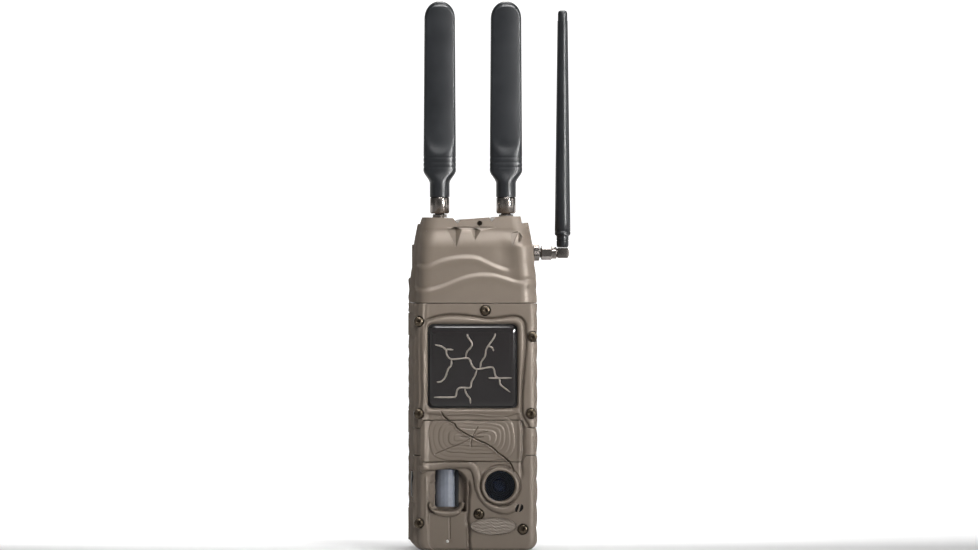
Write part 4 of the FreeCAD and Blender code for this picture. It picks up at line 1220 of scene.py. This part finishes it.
def make_badge():
    """Blank oval plate with a raised rim round a field of wood-grain waves."""
    low, high = box_of("badge")
    cx, cz = (low[0] + high[0]) / 2, (low[2] + high[2]) / 2
    half_x, half_z = (high[0] - low[0]) / 2, (high[2] - low[2]) / 2
    face = FRONT_Y - 0.75
    rim = [(1.0, 1.6), (1.0, 0.3), (0.985, 0.05), (0.955, -0.12), (0.93, -0.05), (0.905, 0.22), (0.88, 0.3)]
    field = [(share, 0.3 - 0.15 * (1 - share)) for share in np.linspace(0.84, 0.02, 26)]
    angles = full_turn(240)
    loops = []
    for share, back in rim + field:
        reach = (half_x - 0.9 + 0.9 * share) * share ** 0.35 if share > 0.9 else half_x * share
        loops.append([(cx + reach * math.cos(a), face + back + grain_mark(share, a),
                       cz + half_z * share * math.sin(a)) for a in angles])
    plate = loft("badge_plate", loops)
    return finish_piece(plate, "housing", "badge", badge_paint, 50)


def make_light():
    """Rounded end of the status light's pipe."""
    light = lathe("light_dot", "y", (LIGHT_X, LIGHT_Z), along_front(
        [(5, 0.9), (1.4, 0.9), (1.0, 0.7), (0.85, 0.1)]), 24)
    finish_piece(light, "housing", "status_light", light_pipe)


# ---------- antennas ----------

def make_paddle(side):
    """Flat blade antenna: a round neck that widens into a blade with flat faces and a rounded tip."""
    low, high = box_of(f"{side}_paddle")
    cx, tip = (low[0] + high[0]) / 2, high[2]
    loops = []
    dome = tip - 13 * np.cos(np.radians(np.linspace(0, 89, 30)))
    heights = np.concatenate([np.arange(212.2, 224, 0.6), np.arange(224, 246, 0.5),
                              np.arange(246, 322, 2.0), dome])
    heights = np.unique(np.round(heights, 3))
    steps = 96
    angles = full_turn(steps)
    for z in heights:
        blade = smooth((z - 223.4) / 8.2)
        half_x = 6.1 * (1 - blade) + blade * (10.0 - 0.0065 * (z - 231))
        half_y = 6.1 * (1 - blade) + blade * 4.9
        if z < 215.2:
            half_x = half_y = 4.1
        near_tip = np.clip((z - (tip - 11)) / 11, 0, 1)
        half_x *= math.sqrt(max(1 - near_tip ** 2.2, 0.0)) + 0.001
        half_y *= (math.sqrt(max(1 - near_tip ** 3, 0.0)) * 0.9 + 0.1 * (1 - near_tip)) + 0.001
        power = 2 + 0.5 * blade
        c, s = np.cos(angles), np.sin(angles)
        x = half_x * np.sign(c) * np.abs(c) ** (2 / power)
        y = half_y * np.sign(s) * np.abs(s) ** (2 / power)
        flat = blade * smooth((z - 239.5 - 0.075 * x ** 2) / 8)
        facet = 3.75 - 0.012 * x ** 2
        y = np.where(np.abs(y) > facet, np.sign(y) * (facet * flat + np.abs(y) * (1 - flat)), y)
        band = 0.16 * (hump(z - 236.4, 0.5) + hump(z - 239.4, 0.5) + hump(z - 233.4, 0.5)) * blade
        x, y = x * (1 - band / 10), y * (1 - band / 5)
        loops.append(np.stack([cx + x, ANTENNA_Y + y, np.full(steps, z)], -1))
    paddle = loft(f"{side}_blade", loops)
    finish_piece(paddle, f"{side}_paddle", f"{side}_paddle", antenna_plastic, 32)


def knurl(count, depth):
    """Lobes of a knurled nut."""
    return lambda angles: 1 - depth * (0.5 + 0.5 * np.cos(angles * count))


def hexagon(angles):
    """Distance to a hexagon's edge, as a share of its corner radius."""
    step = math.pi / 3
    local = (angles + step / 2) % step - step / 2
    return math.cos(math.pi / 6) / np.cos(local)


def thread(start, turns):
    """Profile of thread turns along a post."""
    return [(start + 0.35 * k, 3.1 if k % 2 else 2.8) for k in range(turns)]


def make_coupling(side, sign):
    """Turning sleeve under a paddle, and the threaded socket that it screws on."""
    centre = (sign * SOCKET_X, ANTENNA_Y)
    profile = [(205.0, 3.3), (205.0, 5.0), (205.1, 5.3), (205.7, 5.85), (206.0, 6.0), (214.2, 6.0),
               (214.7, 5.8), (214.9, 5.4), (214.9, 2.7)]
    nut = lathe("nut", "z", centre, profile, 96)
    finish_piece(nut, f"{side}_coupling", f"{side}_coupling", gunmetal, 28)
    post = lathe("post", "z", centre, [(191, 3.0)] + thread(202.9, 24), 32)
    flange = rod("flange", "z", centre, 4.2, 191, 197.6, 6)
    socket = join([post, flange], f"{side}_socket")
    finish_piece(socket, "housing", f"{side}_antenna_socket", gunmetal, 30)


def make_side_nut(centre):
    """Hexagon nut with a plain sleeve, which holds the whip's elbow."""
    low, high = (corner[0] for corner in box_of("side_nut"))
    shoulder = high - 3.0
    flats = lathe("hexagon", "x", centre, [
        (low, 3.3), (low, 3.9), (low + 0.5, 4.4), (shoulder - 0.4, 4.4), (shoulder, 4.1), (shoulder, 3.3)],
        96, hexagon)
    sleeve = lathe("sleeve", "x", centre, [
        (shoulder - 0.1, 3.3), (shoulder - 0.1, 3.75), (high - 0.4, 3.75), (high, 3.4), (high, 2.45)], 64)
    finish_piece(join([flats, sleeve], "hex_nut"), "side_nut", "side_nut", gunmetal, 28)


def make_elbow(centre):
    """Square elbow body with its throat and its end plug."""
    core = block("core", (51.5, -7.3, 177.7), (58.5, -0.7, 184.1), 0.7, 1.2)
    throat = lathe("throat", "x", centre, [(49.2, 2.2), (50.8, 2.3), (51.3, 2.8), (52, 2.8)], 32)
    plug = lathe("plug", "x", centre, [(58.3, 2.0), (58.75, 2.0), (58.9, 1.8)], 32)
    elbow = join([core, throat, plug], "elbow_body")
    finish_piece(elbow, "whip_arm", "elbow", gunmetal, 28)


def make_whip():
    """Tapered mast on a ringed foot, with a small collar at its tip."""
    low, high = box_of("whip")
    top, shoulder, thick = high[2], 194.4, 4.88
    foot = [(184.3, 2.6), (184.5, 3.3), (185.4, 3.7), (188.2, 3.75), (188.5, 3.5), (188.8, 3.75),
            (191.2, 3.75), (191.5, 4.2), (192.2, 4.85), (193.6, 4.9), (194.0, 4.7), (shoulder, thick)]
    mast = [(z, thick - 1.78 * (z - shoulder) / (top - shoulder)) for z in np.linspace(200, top - 7, 12)]
    tip = [(top - 6.6, 3.18), (top - 6.4, 2.98), (top - 2.0, 2.95), (top - 0.8, 2.6), (top - 0.1, 1.6),
           (top, 0.3)]
    whip = lathe("whip_mast", "z", ((low[0] + high[0]) / 2, ANTENNA_Y), foot + mast + tip, 64)
    finish_piece(whip, "whip_arm", "whip", antenna_plastic, 30)


def make_side_antenna():
    """The whip and the parts that carry it from the side of the cap."""
    centre = (ANTENNA_Y, SIDE_Z)
    make_side_nut(centre)
    make_elbow(centre)
    make_whip()
    post = lathe("post", "x", centre, [(27, 3.0)] + thread(41.1, 4) + [(42.2, 3.0)], 32)
    finish_piece(post, "housing", "side_antenna_socket", gunmetal, 30)


def make_socket_nuts():
    """Nuts that hold the sockets: a hexagon under each paddle, a washer and a knurled ring at the side."""
    hexagon_ring = [(202.6, 4.0), (202.6, 5.0), (204.3, 5.0), (204.6, 4.6), (204.6, 3.2)]
    washer = [(35.6, 3.4), (35.6, 5.2), (36.8, 5.2), (37.0, 5.0), (37.0, 3.4)]
    knurled_ring = [(37.1, 3.4), (37.1, 4.6), (37.5, 5.0), (40.2, 5.0), (40.7, 4.6), (40.7, 3.2)]
    rings = [lathe("ring", "z", (x, ANTENNA_Y), hexagon_ring, 96, hexagon) for x in (-SOCKET_X, SOCKET_X)]
    centre = (ANTENNA_Y, SIDE_Z)
    rings.append(lathe("washer", "x", centre, washer))
    rings.append(lathe("ring", "x", centre, knurled_ring, 96, knurl(24, 0.05)))
    finish_piece(join(rings, "bulkhead_nuts"), "housing", "socket_nuts", gunmetal, 28)


# ---------- main housing ----------

def housing_outline(top, spacing, radius):
    """Left side, bottom and right side of the housing: x, z and how far the surface faces sideways."""
    middle = radius - HALF
    left = [(-HALF, z, -1) for z in np.arange(top, radius, -spacing)]
    left += [(middle + radius * math.cos(t), radius + radius * math.sin(t), math.cos(t))
             for t in np.radians(np.linspace(180, 270, 10))]
    right = [(-x, z, -nx) for x, z, nx in reversed(left)]
    return np.array(left + right)


def housing_skin():
    """Closed body of the housing with bark down both sides."""
    y_low, y_high = BACK_Y, HOUSING_HIGH[1]
    spacing = step_size(1.3)
    x, z, nx = housing_outline(HOUSING_HIGH[2] - SEAM, spacing, 7.0).T
    edges = [y_high, y_low + 0.3, y_high - 0.3]
    loops = []
    for y in np.unique(np.concatenate([np.arange(y_low, y_high, spacing), edges])):
        rise = bark(np.full(len(x), y), z) * np.abs(nx)
        rise = rise - 0.3 * max(0, 1 - min(y - y_low, y_high - y) / 0.6) ** 2
        loops.append(np.stack([x + nx * rise, np.full(len(x), y), z], -1))
    return loft("housing_shell", loops)


def make_housing():
    """Housing with its two bays, the wells of the latch, flap and tripod insert, and its hinge barrels."""
    y_low, y_high = BACK_Y, HOUSING_HIGH[1]
    shell = housing_skin()
    cutters = [
        block("bay", (-31.4, 0, 8), (35.2, y_high + 3, 140), 0, 2),
        block("front_bay", (-35.2, y_low - 3, 3), (35.2, -2, 147.5), 0, 2),
        rod("socket", "z", (0, 0), 5.0, -1, 9.6, 40),
        block("latch_well", (36.3, 21.5, LATCH_LOW - 0.3), (39, y_high + 2, LATCH_HIGH + 0.3), 0, 0.6, "x"),
        block("flap_well", (-39, -22, 32), (-36.5, -6, 48.6), 0, 1.2, "x"),
    ]
    for cutter in cutters:
        carve(shell, cutter)
    parts = [shell]
    for low, high in HOUSING_KNUCKLES:
        parts.append(knuckle(low, high))
        parts.append(block("web", (-HALF, y_high - 1, low), (-33.8, PIN_Y, high), 0.3, 0.5))
    return finish_piece(join(parts, "housing_shell"), "housing", "main_housing", casing)


# ---------- door, hinge, latch and jack cover ----------

def knuckle(low, high):
    """Hinge barrel with the same uneven skin as the bark on the sides."""
    middle = [(z, BARREL_R - 0.25 + 0.25 * math.sin(z * 0.62 + 0.8 * math.sin(z * 0.21)))
              for z in np.arange(low + 0.8, high - 0.7, 1.2)]
    profile = [(low, 1.3), (low, BARREL_R - 0.5), (low + 0.3, BARREL_R - 0.25), *middle,
               (high - 0.3, BARREL_R - 0.25), (high, BARREL_R - 0.5), (high, 1.3)]
    return lathe("knuckle", "z", (PIN_X, PIN_Y), profile, 40)


def make_hinge_pin():
    """Plain pin through all the knuckles."""
    low, high = box_of("hinge_pin")
    top = DOOR_KNUCKLES[-1][1] - 0.1
    radius = (high[0] - low[0]) / 2
    profile = [(low[2], radius - 0.3), (low[2] + 0.3, radius), (top - 0.3, radius), (top, radius - 0.3)]
    pin = lathe("hinge_rod", "z", (PIN_X, PIN_Y), profile, 32)
    return finish_piece(pin, "housing", "hinge_pin", steel, 30)


def softened(node, width, material, body):
    """Copy of a CAD node with its hard edges rounded off."""
    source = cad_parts[node]
    mesh = source.data.copy()
    work = bmesh.new()
    work.from_mesh(mesh)
    bmesh.ops.remove_doubles(work, verts=work.verts, dist=1e-6)
    bmesh.ops.dissolve_limit(work, angle_limit=math.radians(1), verts=work.verts, edges=work.edges)
    work.to_mesh(mesh)
    work.free()
    piece = bpy.data.objects.new(f"{node}_shape", mesh)
    piece.matrix_world = source.matrix_world
    bpy.context.collection.objects.link(piece)
    round_edges(piece, width)
    return finish_piece(piece, body, node, material, 35)


def door_relief(x, z):
    """Bark down both sides of the door, round a plain field for the bracket."""
    field = smooth((31 - np.abs(x)) / 2.5) * smooth((z - 22) / 3) * smooth((166 - z) / 3)
    rim = np.minimum(np.minimum(x + 36, 38 - x), np.minimum(z - 4, 186 - z))
    edge = -2.6 * (1 - np.sqrt(1 - np.clip(1 - rim / 3.0, 0, 1) ** 2))
    return edge - 0.35 * field + (bark(x * 1.7 + 40, z) + 0.1) * (1 - field) * smooth(rim / 4)


def relief_plate(name, x_range, z_range, y_front, y_back, relief, spacing):
    """Closed plate whose back face carries relief."""
    xs = np.linspace(*x_range, int((x_range[1] - x_range[0]) / spacing))
    zs = np.linspace(*z_range, int((z_range[1] - z_range[0]) / spacing))
    xx, zz = np.meshgrid(xs, zs)
    back = np.stack([xx, y_back + relief(xx, zz), zz], -1)
    rows, columns = xx.shape
    points = list(back.reshape(-1, 3))
    faces = [(j * columns + i, j * columns + i + 1, (j + 1) * columns + i + 1, (j + 1) * columns + i)
             for j in range(rows - 1) for i in range(columns - 1)]
    border = list(range(columns)) + [j * columns + columns - 1 for j in range(1, rows)]
    border += [(rows - 1) * columns + i for i in range(columns - 2, -1, -1)]
    border += [j * columns for j in range(rows - 2, 0, -1)]
    start = len(points)
    points += [(points[k][0], y_front, points[k][2]) for k in border]
    count = len(border)
    faces += [(border[k], border[(k + 1) % count], start + (k + 1) % count, start + k)
              for k in range(count)]
    faces.append(tuple(range(start, start + count)))
    return mesh_object(name, points, faces)


def make_door():
    """Rear door: hollow inside, its hinge side cut into knuckles and its other side cut for the latch."""
    low, high = box_of("rear_door")
    door = relief_plate("door_shell", (PIN_X, high[0]), (low[2], high[2]), low[1], high[1], door_relief,
                        step_size(0.7))
    corner = [(38.2, 158), (34.4, 187), (34.4, 195), (60, 195), (60, 158)]
    cutters = [
        hull("lean", [(x, y, z) for y in (low[1] - 1, high[1] + 1) for x, z in corner]),
        block("hollow", (-29, low[1] - 2, 10), (31.4, low[1] + 5.3, 180), 0, 3),
    ]
    cutters += [block("notch", (PIN_X - 4, 30, a - 0.3), (PIN_X + BARREL_R + 0.3, 50, b + 0.3), 0, 0.2)
                for a, b in HOUSING_KNUCKLES]
    cutters.append(rod("pin_bore", "z", (PIN_X, PIN_Y), 1.35, low[2] - 1, high[2] + 1))
    cutters += [block("well", (x, y, LATCH_LOW - 0.3), (40, 50, LATCH_HIGH + 0.3), 0, 0.2)
                for x, y in ((33.7, 36.5), (36.3, 30))]
    for cutter in cutters:
        carve(door, cutter)
    door = join([door] + [knuckle(a, b) for a, b in DOOR_KNUCKLES], "door_shell")
    return finish_piece(door, "door", "rear_door", casing, 35)


def make_bracket_screws():
    """Three screws through the middle of the bracket."""
    heads = [screw_head(0, 48.5, z, 3.1, 0.5 + z, 1) for z in (32, 80, 142)]
    return finish_piece(join(heads, "bracket_heads"), "door", "bracket_screws", bronze, 35)


def make_latch():
    """Flat lever with finger ribs at its free end, on a barrel."""
    low, high = LATCH_LOW, LATCH_HIGH
    lever = block("lever", (36.5, 22, low), (37.9, 39.6, high), 0.4, 1.2, "x")
    ribs = [block("rib", (37.6, y, low + 1.5), (38.1, y + 0.9, high - 1.5), 0.2, 0.3, "x")
            for y in np.arange(23.4, 31, 1.9)]
    barrel = lathe("barrel", "z", (35.9, 39.6), [
        (low, 0.95), (low, 1.6), (low + 0.3, 1.9), (high - 0.3, 1.9), (high, 1.6), (high, 0.95)], 32)
    parts = [lever, barrel, *ribs]
    return finish_piece(join(parts, "latch_lever"), "latch", "latch", black_plastic, 30)


def make_jack_cover():
    """Soft flap with a raised field, a rolled hinge along its top and a plug that fills the jack."""
    flap = block("flap", (-37.9, -21.6, 32.4), (-36.6, -6.4, 47), 0.35, 1.6, "x")
    rim = block("rim", (-38.1, -19.4, 34.6), (-37.6, -8.6, 44.4), 0.2, 2.4, "x")
    roll = lathe("roll", "y", (-37.25, 46.95), [(-21.6, 0.3), (-21.6, 0.55), (-21.4, 0.65), (-6.6, 0.65),
                                               (-6.4, 0.55), (-6.4, 0.3)], 24)
    plug = lathe("plug", "x", (-14, 40), [(-36.7, 3.9), (-35.6, 3.9), (-35.3, 3.6), (-35.3, 0.3)], 40)
    parts = [flap, rim, roll, plug]
    return finish_piece(join(parts, "jack_flap"), "jack_cover", "jack_cover", rubber, 30)


# ---------- inside the door ----------

def make_buttons():
    """Four rubber caps with a dished top."""
    for name in ("menu_button", "ok_button", "up_button", "down_button"):
        low, high = box_of(name)
        centre = ((low[0] + high[0]) / 2, (low[2] + high[2]) / 2)
        top = high[1]
        profile = [(low[1], 2.45), (top - 0.9, 2.45), (top - 0.35, 2.3), (top - 0.1, 1.95),
                   (top - 0.02, 1.5), (top - 0.2, 0.9), (top - 0.28, 0.1)]
        cap = lathe(f"{name}_cap", "y", centre, profile, 40)
        finish_piece(cap, name, name, rubber, 40)


def make_cells():
    """D cells: a black sleeve rolled over at its ends, a copper-coloured band and a bright top."""
    for number in (1, 2, 3, 4):
        low, high = box_of(f"battery_cell_{number}")
        centre = ((low[0] + high[0]) / 2, (low[1] + high[1]) / 2)
        a, b = low[2], high[2]
        sleeve = lathe(f"cell_{number}_sleeve", "z", centre, [
            (a + 0.3, 12), (a + 0.3, 15.2), (a, 15.6), (a + 0.2, 16.2), (a + 1.0, 16.42), (b - 15.2, 16.42),
            (b - 15, 16.3), (b - 14.8, 16.42), (b - 3.2, 16.42), (b - 2.4, 16.2), (b - 2.2, 15.4),
            (b - 2.6, 14.6), (b - 2.6, 12)], 96)
        finish_piece(sleeve, "housing", f"battery_cell_{number}", cell_sleeve, 30)
        band = lathe(f"cell_{number}_band", "z", centre, [
            (b - 14.9, 16.3), (b - 14.9, 16.44), (b - 3.4, 16.44), (b - 3.4, 16.3)], 96)
        finish_piece(band, "housing", (), copper, 30)
        top = lathe(f"cell_{number}_top", "z", centre, [
            (b - 3, 14.5), (b - 2.4, 14.5), (b - 2.0, 13.6), (b - 2.2, 9), (b - 1.7, 5.4), (b - 0.4, 4.7),
            (b, 4.3), (b, 0.3)], 72)
        finish_piece(top, "housing", (), steel, 30)


def make_insert():
    """Brass insert: a sleeve whose bore carries thread turns."""
    turns = [(0.4 + 0.4 * k, 3.25 if k % 2 else 2.95) for k in range(21)]
    profile = [(9.4, 4.9), (0.3, 4.9), (0, 4.6), (0, 3.5)] + turns + [(9.4, 3.0)]
    sleeve = lathe("insert_sleeve", "z", (0, 0), profile, 72)
    finish_piece(sleeve, "housing", "tripod_insert", gold_plate, 30)


# ---------- stage ----------

def make_stage():
    """Paper that runs along the floor and up behind; it glows most behind the object."""
    width, deep, rise, bend = 14.0, 14.0, 9.0, 1.5
    curve = [(-deep, 0.0)]
    curve += [(deep - bend + bend * math.sin(t), bend - bend * math.cos(t))
              for t in np.radians(np.linspace(0, 90, 16))]
    curve.append((deep, rise))
    points = [(x / MM, y / MM, z / MM) for y, z in curve for x in (-width, width)]
    faces = [(2 * i, 2 * i + 1, 2 * i + 3, 2 * i + 2) for i in range(len(curve) - 1)]
    floor = mesh_object("studio", points, faces)
    material, tree, shader = new_material("studio_paper")
    paper = object_noise(tree, 3, 2)
    tree.links.new(ramp(tree, paper, [(0.3, (0.50, 0.50, 0.50)), (0.7, (0.54, 0.54, 0.54))]),
                   shader.inputs["Base Color"])
    shader.inputs["Roughness"].default_value = 0.9
    place = add_node(tree, "ShaderNodeTexCoord")
    split = add_node(tree, "ShaderNodeSeparateXYZ")
    tree.links.new(place.outputs["Object"], split.inputs["Vector"])
    glow = map_range(tree, split.outputs["Y"], (0.0, 0.35), (0.22, 1.0))
    shader.inputs["Emission Color"].default_value = (1, 1, 1, 1)
    tree.links.new(glow, shader.inputs["Emission Strength"])
    floor.data.materials.append(material)


def area_light(name, place, target, size, power, size_y=None, spread=180):
    """Soft light in metres and watts, turned to its target."""
    data = bpy.data.lights.new(name, "AREA")
    data.shape = "RECTANGLE"
    data.size = size
    data.size_y = size_y or size
    data.energy = power
    data.spread = math.radians(spread)
    lamp = bpy.data.objects.new(name, data)
    lamp.location = place
    lamp.rotation_euler = (Vector(target) - Vector(place)).to_track_quat("-Z", "Y").to_euler()
    bpy.context.collection.objects.link(lamp)


def make_lights():
    """Narrow beams from high in front for the gloss, and softer ones all round."""
    middle = (0, 0, 0.16)
    high = (0, 0, 0.26)
    area_light("key", (0.35, -0.7, 1.1), high, 0.5, 0.62, size_y=0.33, spread=20)
    area_light("front", (-0.1, -0.88, 1.2), high, 0.6, 0.27, size_y=0.22, spread=20)
    area_light("top", (0.05, 0.45, 1.3), high, 0.6, 0.9, size_y=0.3, spread=60)
    area_light("fill", (-1.6, -1.5, 0.4), middle, 0.8, 0.5)
    area_light("strip", (1.1, -1.2, 0.5), (0, 0, 0.28), 0.12, 0.5, size_y=0.6, spread=18)
    area_light("rim", (1.5, -0.1, 0.3), middle, 0.3, 3, size_y=1.1)
    world = bpy.data.worlds.new("studio")
    world.use_nodes = True
    world.node_tree.nodes["Background"].inputs["Color"].default_value = (1, 1, 1, 1)
    world.node_tree.nodes["Background"].inputs["Strength"].default_value = 0.10
    bpy.context.scene.world = world
    bpy.context.scene.view_settings.view_transform = "Standard"


def make_camera():
    """Long lens, almost level and nearly square on to the front."""
    azimuth, elevation, distance = math.radians(-2.7), math.radians(0.3), 5.0
    # One pixel of the 978-pixel frame at the object; the trim makes up for the lens's perspective.
    pixel = 0.61 * 1.0042 * MM
    wide = 978 * pixel
    target = Vector((0.0101, 0, 0.1674))
    back = Vector((math.sin(azimuth) * math.cos(elevation), -math.cos(azimuth) * math.cos(elevation),
                   math.sin(elevation)))
    data = bpy.data.cameras.new("camera")
    data.sensor_width = 36
    data.lens = 36 * distance / wide
    data.clip_end = 50
    camera = bpy.data.objects.new("camera", data)
    camera.location = target + back * distance
    camera.rotation_euler = back.to_track_quat("Z", "Y").to_euler()
    bpy.context.collection.objects.link(camera)
    bpy.context.scene.camera = camera


def dress_cad(nodes, material):
    """Gives the CAD nodes that stay on show their material."""
    for name in nodes:
        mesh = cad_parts[name].data
        mesh.materials.clear()
        mesh.materials.append(material())


make_stage()
make_lights()
make_camera()
make_bezel()
make_band()
make_lens_cover()
make_cap()
make_pane()
make_branches()
make_screws()
make_lens()
make_pir()
make_badge()
make_light()
for side, sign in (("left", -1), ("right", 1)):
    make_paddle(side)
    make_coupling(side, sign)
make_side_antenna()
make_socket_nuts()
make_housing()
make_door()
make_bracket_screws()
make_latch()
make_hinge_pin()
make_jack_cover()
make_buttons()
make_cells()
make_insert()
softened("tree_bracket", 0.7, black_plastic, "door")
softened("door_seal", 0.2, rubber, "door")
softened("control_panel", 0.35, black_plastic, "housing")
softened("mode_switch", 0.3, rubber, "mode_switch")
softened("memory_card", 0.25, card_plastic, "card")
softened("display", 0.2, screen, "housing")
dress_cad(["led_board", "main_board", "modem_board", "sensor_board"], board_green)
dress_cad(["led_emitters"], led_resin)
dress_cad(["lens_holder", "antenna_leads", "dc_jack", "microphone"], black_plastic)
dress_cad(["pir_sensor", "card_socket", "battery_contacts", "latch_pin"], steel)
dress_cad(["ir_cut_filter"], clear_glass)
